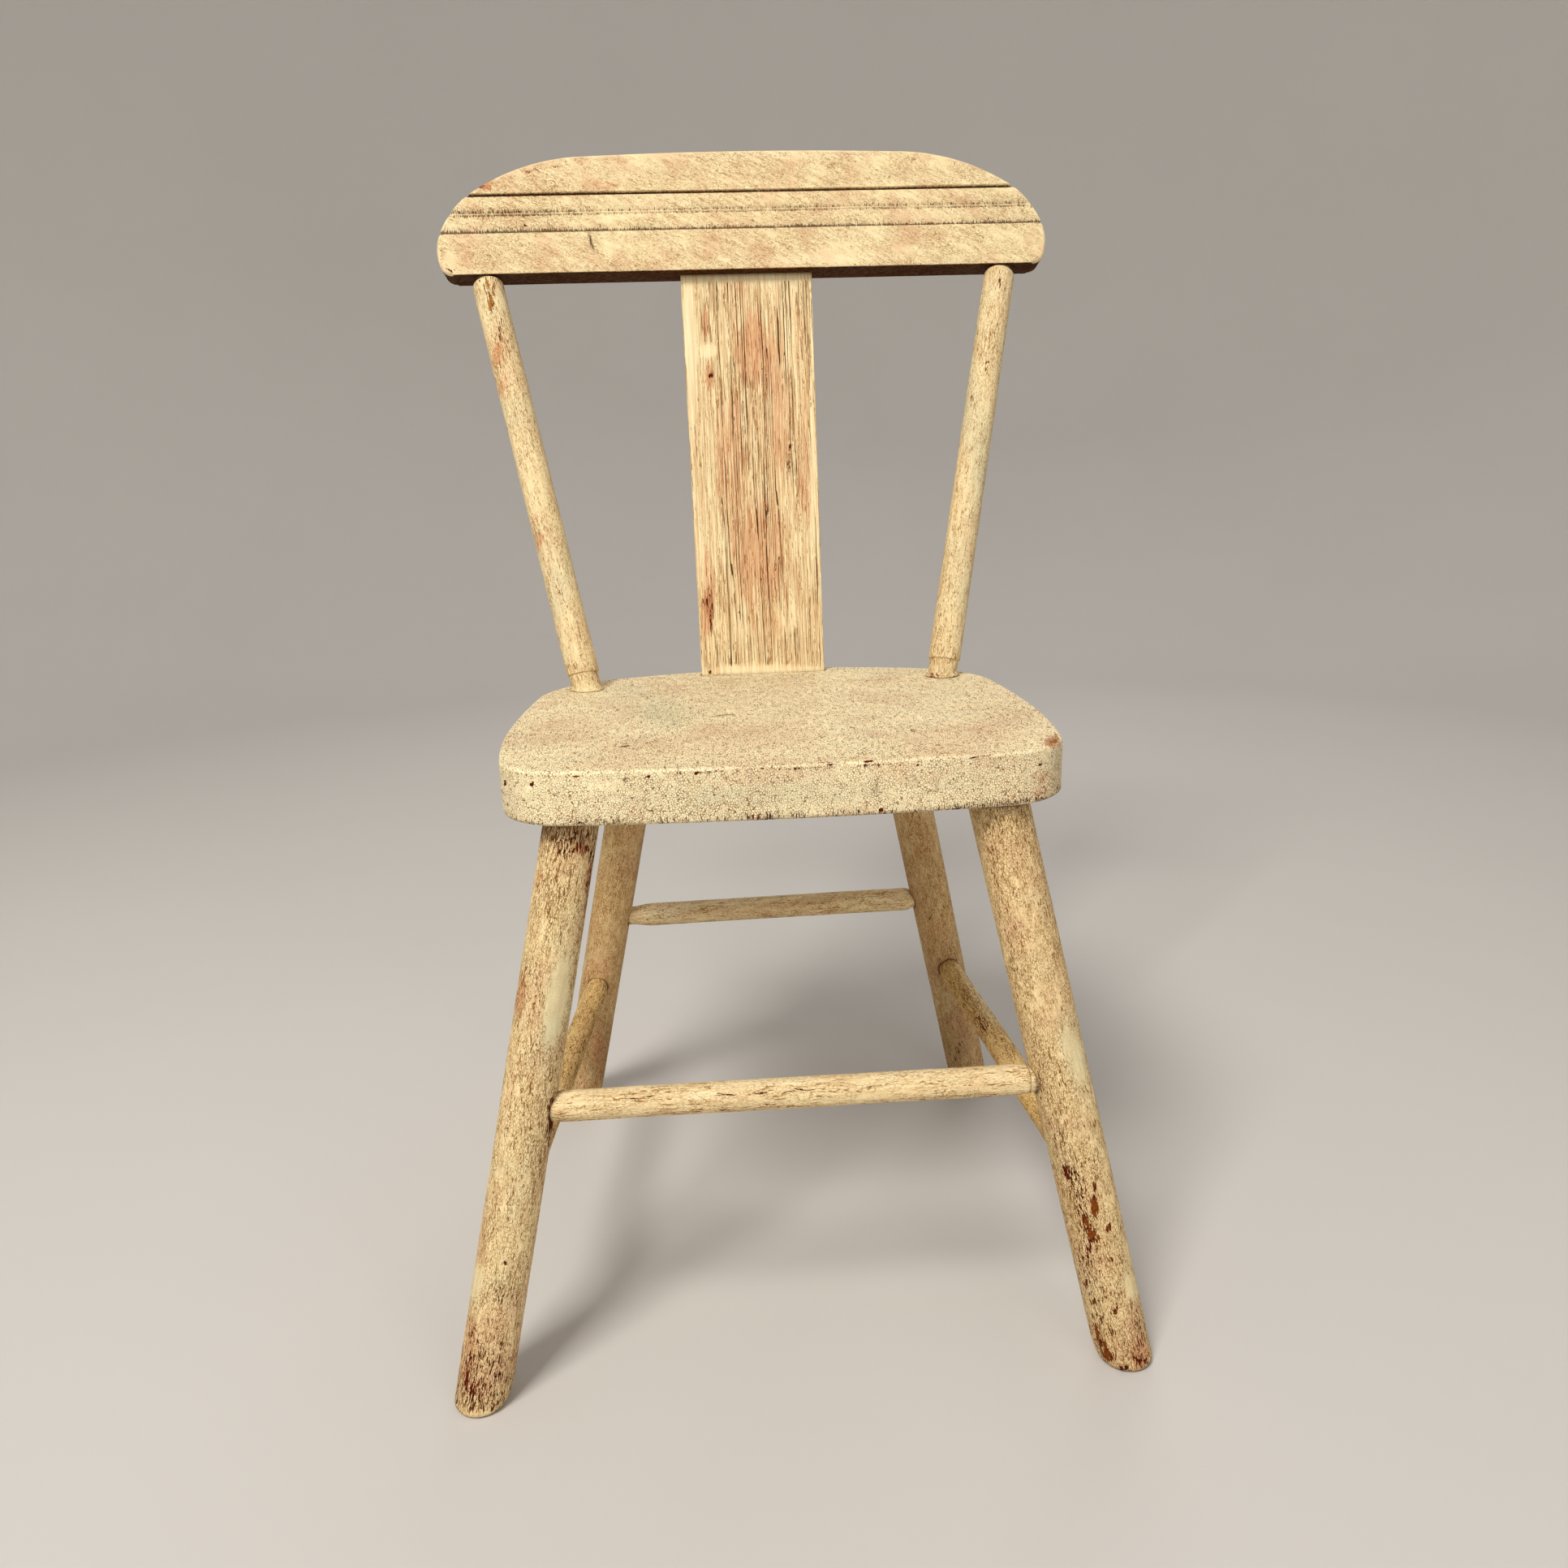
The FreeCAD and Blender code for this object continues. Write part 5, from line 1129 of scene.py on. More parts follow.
# ---------------------------------------------------------------------------
# Splat: a board with deep weathered grain
# ---------------------------------------------------------------------------
TILT = math.radians(13.0)
UPB = np.array([0, math.sin(TILT), math.cos(TILT)])
BACK = np.array([0, math.cos(TILT), -math.sin(TILT)])
SPLAT_DABS = {
    "wear": [(876, 463, 4.5, 5, 0, 0.9), (871, 400, 4, 20, 2, 0.22), (871, 372, 4, 24, 3, 0.25),
             (884, 380, 3, 30, 1, 0.20), (874, 740, 8, 34, 0, 0.30), (880, 520, 3, 50, 0, 0.15),
             (973, 540, 2.6, 60, 0, 0.34), (971, 580, 2.6, 34, 0, 0.34),
             (878, 770, 6, 30, 0, 0.24), (868, 742, 5, 8, 0, 0.34), (1006, 745, 3, 24, 0, 0.3), (875, 827, 3, 3, 0, 0.8),
             (1000, 370, 3, 40, 0, 0.18)],
    "rub": [(869, 396, 6, 26, 0, 0.90), (874, 462, 8, 28, 0, 0.80), (872, 760, 13, 44, 0, 0.45), (898, 560, 26, 110, 0, 0.42),
            (928, 430, 30, 64, 0, 0.50), (960, 500, 24, 120, 0, 0.34), (930, 690, 46, 110, 0, 0.40),
            (992, 560, 12, 160, 0, 0.30), (985, 420, 12, 60, 0, 0.2), (872, 720, 14, 70, 0, 0.42),
            (900, 350, 24, 20, 0, 0.2), (958, 780, 40, 36, 0, 0.25)],
    "tone": [(850, 420, 14, 120, 0, -0.10)],
    "crk": [(850, 440, 15, 150, 0, -0.75), (872, 432, 14, 12, 0, -0.7), (925, 344, 90, 10, 0, -0.5),
            (940, 824, 80, 9, 0, -0.6), (858, 640, 8, 120, 0, -0.30), (1002, 600, 4, 260, 0, -0.4)],
    # paler paint on the left strip, painted highlights on the thin edge lines
    "pale_and_highlight": [(848, 440, 12, 150, 0, 0.35), (872, 432, 14, 12, 0, 0.5), (925, 342, 90, 8, 0, 0.4),
             (940, 826, 80, 8, 0, 0.4), (1001, 600, 4, 260, 0, 0.3)],
    "seam_and_shadow": [(849, 430, 14, 150, 0, -0.9), (872, 432, 14, 13, 0, -0.9), (940, 826, 80, 8, 0, -0.9),
             (925, 341, 90, 6, 0, -0.8), (858, 650, 8, 120, 0, -0.35)],
}


def make_splat(seed=31):
    low = np.array([0, 102.2, 329.0])
    run = 271.6
    # rows up the board; the lowest follow the level seat
    s = np.linspace(0, run, 136)
    nx, th = 316, 8.0
    eb = 0.9
    u = np.linspace(-1, 1, nx)
    arcn = 5

    def half(sv):
        return 42.2 + (44.8 - 42.2) * sv / run

    def relief(x, sv, face):
        """Weathered grain, 0 at the paint's face to -1 at a groove's floor."""
        wig = 1.3 * vnoise(np.stack([x / 34, sv / 120, x * 0 + face], 1), seed) \
            + 0.35 * vnoise(np.stack([x / 9, sv / 34, x * 0 + face], 1), seed + 1)
        xx = x + wig
        def thread(pitch, length, salt, w0, w1):
            """Fine lines of even width: 1 on a line, 0 from w1 mm off it."""
            q = [vnoise(np.stack([(xx + d) * pitch, sv / length, x * 0 + salt * face], 1),
                        seed + salt) for d in (-0.1, 0.0, 0.1)]
            off = np.abs(q[1]) / np.maximum(np.abs(q[2] - q[0]) / 0.2, 0.12)
            wide = 0.75 + 0.55 * vnoise(np.stack([x / 3, sv / 26, x * 0 + face], 1),
                                        seed + salt + 20)
            return 1 - smooth(w0, w1, off / np.maximum(wide, 0.3))

        groove = np.maximum(thread(0.42, 230, 2, 0.18, 0.40),
                            0.78 * thread(0.80, 130, 3, 0.10, 0.30))
        here = smooth(-0.42, 0.10, vnoise(np.stack([x / 5.5, sv / 80, x * 0 + face], 1), seed + 5)
                      + 0.5 * (1 - smooth(12, 36, sv)))
        return groove * here

    rows, meta = [], []
    # loop round the board's section at each row: front, edge, back, edge
    secs = []
    for k in range(nx):
        secs.append(("f", u[k]))
    ang = np.linspace(0, 90, arcn)[1:-1]
    loopx, loopd, kind = [], [], []
    W = 1.0
    # section in terms of (edge side, offset from half width, depth)
    sec = [(u[k], 0.0, 0.0, 1) for k in range(nx)]                       # front
    sec += [(1.0, eb * math.sin(math.radians(a)) - eb, eb * (1 - math.cos(math.radians(a))), 2)
            for a in ang]
    sec += [(1.0, 0.0, d, 2) for d in np.linspace(eb, th - eb, 5)]
    sec += [(1.0, eb * math.sin(math.radians(a)) - eb, th - eb * (1 - math.cos(math.radians(a))), 2)
            for a in ang[::-1]]
    sec += [(-u[k], 0.0, th, 3) for k in range(nx)]                      # back
    sec += [(-1.0, eb * math.sin(math.radians(a)) - eb, th - eb * (1 - math.cos(math.radians(a))), 4)
            for a in ang]
    sec += [(-1.0, 0.0, d, 4) for d in np.linspace(th - eb, eb, 5)]
    sec += [(-1.0, eb * math.sin(math.radians(a)) - eb, eb * (1 - math.cos(math.radians(a))), 4)
            for a in ang[::-1]]
    cols = len(sec)
    su = np.array([c[0] for c in sec])
    so = np.array([c[1] for c in sec])
    sd = np.array([c[2] for c in sec])
    sk = np.array([c[3] for c in sec])
    flat = (sk == 1) | (sk == 3)
    S, _ = np.meshgrid(s, np.arange(cols), indexing="ij")
    H = half(S)
    X = np.where(flat[None, :], su[None, :] * (H - eb), np.sign(su)[None, :] * (H + so[None, :]))
    D = np.repeat(sd[None, :], len(s), 0)
    face = np.where(sk == 3, 9.0, 0.0)
    g = relief(X.ravel(), S.ravel(), np.repeat(face[None, :], len(s), 0).ravel()).reshape(S.shape)
    fade = smooth(0.0, 5.0, S) * smooth(0.0, 7.0, run - S)
    inner = smooth(0.3, 2.2, H - np.abs(X))
    left = smooth(-39.0, -33.0, X) * 0.75 + 0.25                       # smooth strip
    depth_r = 0.42 * g * fade * inner * np.where(sk[None, :] == 1, left, 1.0) * flat[None, :]
    swell = 0.10 * fbm(np.stack([X.ravel() / 4, S.ravel() / 60, D.ravel() / 4], 1), seed + 7, 2
                       ).reshape(S.shape)
    D2 = D + np.where(sk[None, :] == 1, depth_r + swell * inner * fade,
                      np.where(sk[None, :] == 3, -depth_r - swell * inner * fade, 0.0))
    # edges are a little uneven
    en = 0.16 * fbm(np.stack([np.sign(X).ravel() * 40, S.ravel() / 12, D.ravel() / 6], 1),
                    seed + 8, 3).reshape(S.shape)
    X2 = np.where(flat[None, :], X, X + np.sign(X) * (en - 0.06) * fade)
    co = low + X2[..., None] * np.array([1.0, 0, 0]) + S[..., None] * UPB + D2[..., None] * BACK
    # the foot is cut level with the seat
    lift = np.clip(1 - S / 9.0, 0, 1) * D2 * math.tan(TILT)
    co = co + lift[..., None] * UPB
    nrow = len(s)
    co = co.reshape(-1, 3)
    faces = [grid_faces(nrow, cols)]

    # ends: shoulder, tenon sides and tenon end
    def cap(row, direction, length, level):
        nonlocal co
        base = row * cols
        ring = co[base:base + cols]
        tx = np.clip(X2[row], -37.0, 37.0)
        td = np.clip(sd, 1.0, 7.0)
        o = low + S[row][:, None] * UPB
        inner_ring = o + tx[:, None] * np.array([1.0, 0, 0]) + td[:, None] * BACK
        if level:
            inner_ring = inner_ring + (td * math.tan(TILT))[:, None] * UPB
        mid_ring = o + tx[:, None] * np.array([1.0, 0, 0]) + td[:, None] * BACK \
            + direction * 4.0 * UPB
        end_ring = o + tx[:, None] * np.array([1.0, 0, 0]) + td[:, None] * BACK \
            + direction * length * UPB
        centre = end_ring.mean(0)
        b = len(co)
        co = np.vstack([co, inner_ring, mid_ring, end_ring, centre[None]])
        j = np.arange(cols)
        k = (j + 1) % cols
        f = [np.stack([base + j, base + k, b + k, b + j], 1),
             np.stack([b + j, b + k, b + cols + k, b + cols + j], 1),
             np.stack([b + cols + j, b + cols + k, b + 2 * cols + k, b + 2 * cols + j], 1)]
        faces.extend(f)
        faces.append(fan(b + 3 * cols, b + 2 * cols, cols))

    cap(0, -1, 15.0, True)
    cap(nrow - 1, 1, 15.0, False)
    N0 = nrow * cols
    rel = co - low
    gr = np.stack([rel @ UPB, rel[:, 0], rel @ BACK], 1)
    nf = np.zeros_like(co)
    skk = np.repeat(sk[None, :], nrow, 0).ravel()
    nf[:N0][skk == 1] = -BACK
    nf[:N0][skk == 3] = BACK
    nf[:N0][skk == 2] = (1, 0, 0)
    nf[:N0][skk == 4] = (-1, 0, 0)
    pad = len(co) - N0
    groove = np.concatenate([(g * fade * inner * np.where(sk[None, :] == 1, left, 1.0)
                              * flat[None, :]).ravel(), np.zeros(pad)])
    sv, xv = gr[:, 0], gr[:, 1]
    n1 = fbm(gr * [1 / 60, 1 / 7, 1 / 7], seed + 40, 3)
    n2 = fbm(gr * [1 / 30, 1 / 4, 1 / 4], seed + 41, 3)
    n3 = fbm(gr * [1 / 90, 1 / 16, 1 / 16], seed + 42, 3)
    wear = 0.24 + 0.16 * n1 + dabs(co, nf, SPLAT_DABS["wear"])
    seam_and_shadow = groove * (0.86 + 0.3 * n3) + dabs(co, nf, SPLAT_DABS["seam_and_shadow"])
    # paler paint along the board's edges, with painted highlights on the thin lines at the top, bottom and
    # right edge
    pale_and_highlight = dabs(co, nf, SPLAT_DABS["pale_and_highlight"])
    hue = 0.3 + 0.4 * n1
    dirt_and_shade = 0.8 * smooth(run - 3.0, run - 0.3, sv)
    dirt_and_shade += 0.25 * (1 - smooth(0.0, 1.2, sv))
    backside = np.concatenate([(skk == 3).astype(float), np.zeros(pad)])
    crk = 0.62 + 0.3 * n2 + dabs(co, nf, SPLAT_DABS["crk"])
    crk -= 0.5 * (1 - smooth(0, 7, sv)) + 0.3 * smooth(run - 14, run, sv)
    tone = 0.1 * n3 + dabs(co, nf, SPLAT_DABS["tone"])
    rub = 0.15 + 0.26 * n3 + 0.22 * n2 + 1.05 * dabs(co, nf, SPLAT_DABS["rub"]) - 0.05 * backside
    wear -= 0.10 * backside
    seam_and_shadow *= 1 - 0.40 * backside
    wear[N0:] = 0.9
    return build("splat_painted", co, faces,
                 {"gr": gr + [900.0, 40.0, 0.0], "wear": np.clip(wear, 0, 1),
                  "dirt_and_shade": np.clip(dirt_and_shade, 0, 1), "crk": np.clip(crk, 0, 1),
                  "tone": np.clip(tone, -1, 1), "rub": np.clip(rub, 0, 1),
                  "seam_and_shadow": np.clip(seam_and_shadow, 0, 1), "pale_and_highlight": np.clip(pale_and_highlight, 0, 1),
                  "hue": np.clip(hue, 0, 1)},
                 MAT["splat"], "splat", sharp=60.0)


# ---------------------------------------------------------------------------
# Crest rail
# ---------------------------------------------------------------------------
CREST_DABS = {
    "wear": [(592, 228, 7, 6, -40, 0.46), (545, 318, 5, 16, 0, 0.45),
             (556, 333, 14, 4, 14, 0.45), (647, 277, 3, 7, 30, 0.62), (645, 272, 3, 4, 0, 0.35),
             (576, 291, 8, 4, 0, 0.35), (1278, 327, 9, 5, 0, 0.45), (1265, 300, 5, 4, 0, 0.35),
             (655, 210, 24, 2.2, -12, 0.46), (680, 206, 14, 2, -8, 0.4), (740, 228, 26, 6, -3, 0.12)],
    "rub": [(596, 224, 12, 18, -40, 0.95), (742, 228, 34, 9, -3, 0.42), (640, 316, 30, 8, 0, 0.28),
            (700, 312, 34, 10, 0, 0.25), (548, 322, 10, 20, 0, 0.4), (1160, 200, 80, 8, 8, 0.08),
            (650, 278, 14, 8, 0, 0.3)],
    "tone": [(850, 225, 120, 18, 0, 0.05), (1150, 215, 120, 18, 6, -0.08)],
    "crk": [(620, 310, 80, 30, 0, 0.30), (650, 232, 70, 20, 0, 0.35), (900, 205, 120, 18, 0, 0.15),
            (640, 268, 100, 16, 0, 0.30), (820, 315, 130, 12, 0, 0.15), (1010, 320, 60, 14, 0, -0.2)],
    "dirt_and_shade": [(727, 294, 2.0, 12, -10, 1.1), (730, 303, 1.6, 9, -20, 0.9)],
    # painted highlights along the edges
    "pale_and_highlight": [(1000, 320, 200, 8, -2, 0.25), (950, 192, 220, 6, 0, 0.3), (700, 208, 60, 4, -14, 0.2)],
}


def make_crest(seed=51):
    org = np.array([0, 163.8, 593.5])
    half, fr, bk = 10.0, 2.6, 2.0
    segs = [((196, 0), (203.2, 5.1), 7.6), ((203.2, 5.1), (203.5, 25.5), 30.5),
            ((203.5, 25.5), (184, 52), 60), ((184, 52), (105, 76.6), 145),
            ((105, 76.6), (-105, 76.6), 3063), ((-105, 76.6), (-184, 52), 145),
            ((-184, 52), (-203.5, 25.5), 60), ((-203.5, 25.5), (-203.2, 5.1), 30.5),
            ((-203.2, 5.1), (-196, 0), 7.6)]
    top = np.vstack([arc(a, b, r, 80)[:-1] for a, b, r in segs] + [[(-196.0, 0.0)]])
    top = resample(top, 1.25, closed=False)
    bottom = np.column_stack([np.linspace(-196, 196, 301)[1:-1], np.zeros(299)])
    outline = np.vstack([top, bottom])                  # counter-clockwise
    nt, n = len(top), len(top) + len(bottom)
    # the moulding along the front: height up the face, depth into it
    lo, md, hi = 27.1, 39.4, 51.8
    prof_u, prof_d = [25.9, 26.2, 27.1], [0.0, 0.0, 1.5]

    def convex(p0, p1, radius, count):
        p0, p1 = np.array(p0), np.array(p1)
        mid, ch = (p0 + p1) / 2, p1 - p0
        h = np.linalg.norm(ch) / 2
        nrm_ = np.array([ch[1], -ch[0]]) / (2 * h)      # towards less depth
        if nrm_[1] > 0:
            nrm_ = -nrm_
        c = mid - nrm_ * math.sqrt(radius ** 2 - h ** 2)
        a0 = math.atan2(p0[1] - c[1], p0[0] - c[0])
        a1 = math.atan2(p1[1] - c[1], p1[0] - c[0])
        return [(c[0] + radius * math.cos(a), c[1] + radius * math.sin(a))
                for a in np.linspace(a0, a1, count)[1:-1]]

    for q in convex((27.1, 1.5), (38.3, 1.15), 17.0, 9):
        prof_u.append(q[0]), prof_d.append(q[1])
    for a, b in ((38.3, 1.15), (38.7, 1.5), (39.4, 1.0), (40.1, 1.5), (40.5, 1.15)):
        prof_u.append(a), prof_d.append(b)
    for q in convex((40.5, 1.15), (50.7, 1.1), 16.5, 9):
        prof_u.append(q[0]), prof_d.append(q[1])
    for a, b in ((50.7, 1.1), (51.3, 2.4), (51.5, 2.6), (52.2, 2.6), (52.4, 0.8), (52.5, 0.0),
                 (52.8, 0.0)):
        prof_u.append(a), prof_d.append(b)
    prof_u, prof_d = np.array(prof_u), np.array(prof_d)

    def edge_gap(p):
        """Distance to the rounded part of the outline."""
        out = np.empty(len(p))
        for i in range(0, len(p), 4000):
            q = p[i:i + 4000]
            a, b = top[:-1], top[1:]
            ab = b - a
            t = np.clip(((q[:, None] - a) * ab).sum(-1) / (ab ** 2).sum(-1), 0, 1)
            dd = q[:, None] - (a + t[..., None] * ab)
            out[i:i + 4000] = np.sqrt((dd ** 2).sum(-1).min(1))
        return out

    def inside(p, margin):
        e = edge_gap(p)
        # inside the outline: below the top curve at this x, and above the base
        xs, ys = top[:, 0], top[:, 1]
        up_half = ys >= 25.5
        order = np.argsort(xs[up_half])
        lid = np.interp(p[:, 0], xs[up_half][order], ys[up_half][order], left=-1, right=-1)
        low_half = (ys < 25.5)
        ok = (p[:, 1] < lid)
        r = low_half & (xs > 0)
        l = low_half & (xs < 0)
        xr = np.interp(p[:, 1], np.sort(ys[r]), xs[r][np.argsort(ys[r])])
        xl = np.interp(p[:, 1], np.sort(ys[l]), xs[l][np.argsort(ys[l])])
        side_ok = np.where(p[:, 1] < 25.5, (p[:, 0] < xr) & (p[:, 0] > xl), True)
        ok = np.where(p[:, 1] < 25.5, side_ok, ok)
        return ok & (e > margin) & (p[:, 1] > 0.35), e

    # inset copies of the rounded outline resolve the rounded edge
    tg = np.gradient(top, axis=0)
    tg /= np.linalg.norm(tg, axis=1)[:, None]
    nin = np.column_stack([-tg[:, 1], tg[:, 0]])         # inward

    def insets(r, steps):
        out_ = []
        for a in steps:
            d = r * (1 - math.sin(math.radians(a)))
            p = top + nin * d
            keep = (p[:, 1] > 0.5)
            out_.append(p[keep])
        return out_

    def plane_mesh(points, first_outline):
        """Triangles over the outline and the given inner points."""
        from mathutils.geometry import delaunay_2d_cdt
        allp = np.vstack([first_outline, points])
        m_ = len(first_outline)
        edges = [(i, (i + 1) % m_) for i in range(m_)]
        v, e, f, ov, oe, of = delaunay_2d_cdt(
            [Vector((float(a), float(b))) for a, b in allp], edges, [], 1, 1e-5)
        v = np.array([(q[0], q[1]) for q in v])
        f = np.array([t for t in f if len(t) == 3])
        return v, f, ov

    rng = np.random.default_rng(7)
    xs = np.arange(-203, 203.01, 1.35)
    ups = np.concatenate([np.arange(1.4, 25.6, 1.55), prof_u, np.arange(54.2, 78.3, 1.5)])
    gx, gu = np.meshgrid(xs, ups)
    inner = np.column_stack([gx.ravel(), gu.ravel()])
    ok, _ = inside(inner, fr + 0.45)
    pts = np.vstack([inner[ok]] + insets(fr, (72, 54, 38, 24, 11, 0)))
    fv, ff, _ = plane_mesh(pts, outline)
    xs = np.arange(-203, 203.01, 2.6)
    ups = np.arange(1.6, 78.3, 2.4)
    gx, gu = np.meshgrid(xs, ups)
    inner = np.column_stack([gx.ravel(), gu.ravel()])
    ok, _ = inside(inner, bk + 0.8)
    pts = np.vstack([inner[ok]] + insets(bk, (66, 42, 20, 0)))
    bv, bf, _ = plane_mesh(pts, outline)

    def rounding(e, r):
        e = np.minimum(e, r)
        return r - np.sqrt(np.maximum(r * r - (r - e) ** 2, 0))

    ef, eb_ = edge_gap(fv), edge_gap(bv)
    wig = 0.10 * fbm(np.column_stack([fv[:, 0] / 30, fv[:, 1] / 30, fv[:, 0] * 0]), seed, 2)
    mould = np.interp(fv[:, 1] + wig, prof_u, prof_d, left=0, right=0)
    dep = np.maximum(rounding(ef, fr), mould)
    # worn lower arris
    la_ = 1 - smooth(0.0, 1.3, fv[:, 1])
    nick = fbm(np.column_stack([fv[:, 0] / 4.5, fv[:, 1] / 6, fv[:, 0] * 0]), seed + 1, 3)
    dep = dep + la_ * (0.35 + 0.45 * smooth(0.0, 0.7, nick))
    # grooves are broken and nibbled
    groove = np.clip(np.interp(fv[:, 1] + wig, [26.2, 27.0, 28.4, 37.4, 38.6, 39.4, 40.2, 41.4,
                                                 50.0, 51.2, 52.3, 52.55],
                               [0, 1, 0.0, 0.0, 0.9, 0.35, 0.9, 0.0, 0.05, 1.0, 1.0, 0.0]), 0, 1)
    tick = fbm(np.column_stack([fv[:, 0] / 1.7, fv[:, 1] / 5, fv[:, 0] * 0]), seed + 2, 2)
    dep = dep + 0.25 * groove * smooth(-0.1, 0.6, tick)
    und = 0.12 * fbm(np.column_stack([fv[:, 0] / 26, fv[:, 1] / 14, fv[:, 0] * 0]), seed + 3, 3)
    dep = dep + (und + 0.12) * smooth(0.5, 4.0, ef)
    dep = np.maximum(dep, 0.0)
    # on the outline the front meets the side wall
    n_out = n
    front_d = -half + dep
    back_und = 0.10 * fbm(np.column_stack([bv[:, 0] / 24, bv[:, 1] / 16, bv[:, 0] * 0]), seed + 4, 2)
    back_d = half - rounding(eb_, bk) - (back_und + 0.10) * smooth(0.5, 4.0, eb_) \
        - 0.3 * (1 - smooth(0.0, 1.2, bv[:, 1]))

    # side wall between the two outlines
    depths = np.linspace(0, 1, 13)[1:-1]
    f0, b0 = front_d[:n_out], back_d[:n_out]
    up = outline[:, 1]
    onx = np.zeros_like(outline)
    onx[:nt] = -nin
    onx[nt:] = (0.0, -1.0)
    notch = sum(a * np.exp(-((up - c) / w) ** 2) for c, w, a in
                ((27.0, 0.9, 0.75), (39.3, 1.3, 0.55), (51.9, 0.8, 0.95)))
    notch = notch * (np.arange(n_out) < nt)
    wall_n = 0.14
    rows = [np.column_stack([outline - onx * (notch * 1.0)[:, None], f0])]
    for q in depths:
        d = f0 + (b0 - f0) * q
        fall = np.clip(1 - q * 2.0, 0, 1) ** 1.5
        wob = wall_n * fbm(np.column_stack([outline[:, 0] / 14, outline[:, 1] / 14, d / 7]),
                           seed + 6, 3) - 0.06
        wob = wob * smooth(0, 0.15, q) * smooth(0, 0.15, 1 - q)
        rows.append(np.column_stack([outline - onx * (notch * fall)[:, None]
                                     + onx * wob[:, None], d]))
    rows.append(np.column_stack([outline, b0]))
    wall = np.vstack(rows)
    nr = len(rows)
    # one vertex list: front triangles, wall rows between, back triangles
    fshift = np.column_stack([fv, front_d])
    fshift[:n_out, :2] = rows[0][:, :2]
    # the rounded edge follows the notches
    near = smooth(0.0, fr * 1.4, ef[n_out:])
    loc = fv[n_out:]
    pull = sum(a * np.exp(-((loc[:, 1] - c) / w) ** 2) for c, w, a in
               ((27.0, 0.9, 0.75), (39.3, 1.3, 0.55), (51.9, 0.8, 0.95)))
    pull = pull * (1 - near) * (np.abs(loc[:, 0]) > 180)
    fshift[n_out:, 0] -= np.sign(loc[:, 0]) * pull
    nfv = len(fshift)
    base_wall = nfv
    base_back = nfv + (nr - 2) * n_out
    co2 = np.vstack([fshift, wall[n_out:-n_out], np.column_stack([bv, back_d])])
    j = np.arange(n_out)
    k = (j + 1) % n_out
    quads = [np.stack([j, k, base_wall + k, base_wall + j], 1)]
    for r_ in range(nr - 3):
        a, b = base_wall + r_ * n_out, base_wall + (r_ + 1) * n_out
        quads.append(np.stack([a + j, a + k, b + k, b + j], 1))
    a = base_wall + (nr - 3) * n_out
    quads.append(np.stack([a + j, a + k, base_back + k, base_back + j], 1))
    faces = [ff, np.vstack(quads), bf + base_back]
    X, U, D = co2[:, 0], co2[:, 1], co2[:, 2]
    co = org + X[:, None] * np.array([1.0, 0, 0]) + U[:, None] * UPB + D[:, None] * BACK
    isf = np.arange(len(co)) < nfv
    isb = np.arange(len(co)) >= base_back
    # how strongly each part of the front takes the mouldings' dark seams: grime in the grooves, and painted
    # shadow under the proud bands
    seam_and_shadow = np.zeros(len(co))
    seam_and_shadow[:nfv] = np.interp(fv[:, 1] + wig,
                           [24.6, 26.0, 26.6, 27.6, 28.6, 30.5, 34.0, 36.5, 37.9, 38.3, 38.7,
                            39.0, 39.8, 40.1, 41.3, 43.5, 49.8, 51.2, 51.5, 52.2, 52.45],
                           [0.0, 0.18, 1.0, 0.88, 0.36, 0.16, 0.12, 0.08, 0.22, 0.62, 0.45,
                            0.0, 0.0, 0.50, 0.34, 0.10, 0.05, 0.3, 0.9, 1.0, 0.0])
    # painted highlights on the moulding's middle ridge, on the edge above the upper groove and along the lower
    # edge
    pale_and_highlight = np.zeros(len(co))
    pale_and_highlight[:nfv] = 0.65 * np.exp(-((fv[:, 1] + wig - 39.4) / 0.45) ** 2) \
        + 0.30 * np.exp(-((fv[:, 1] + wig - 53.1) / 0.6) ** 2) \
        + 0.35 * np.exp(-((fv[:, 1] - 0.7) / 0.8) ** 2)
    nf = np.zeros_like(co)
    nf[isf] = -BACK
    nf[isb] = BACK
    wl = ~(isf | isb)
    won = np.tile(onx, (nr - 2, 1))
    nf[wl] = won[:, :1] * np.array([1.0, 0, 0]) + won[:, 1:] * UPB
    gr = np.stack([X, U, D], 1)
    n1 = fbm(gr / [40, 18, 18], seed + 40, 3)
    n2 = fbm(gr / [22, 10, 10], seed + 41, 3)
    n3 = fbm(gr / [60, 30, 30], seed + 42, 3)
    gv = np.zeros(len(co))
    gv[:nfv] = groove * smooth(0.0, 1.2, ef + 0.4)
    down = np.zeros(len(co))
    down[wl] = smooth(0.15, 0.6, -won[:, 1])
    bottom_v = np.maximum((U < 0.3) * 1.0, down) * smooth(-half + 0.5, -half + 1.3, D) \
        * (~isf)
    upper_groove_shadow = np.zeros(len(co))
    upper_groove_shadow[:nfv] = np.interp(fv[:, 1] + wig, [51.3, 51.6, 52.1, 52.4], [0, 1, 1, 0])
    tickv = fbm(np.column_stack([X / 1.5, U / 6, D]), seed + 60, 2)
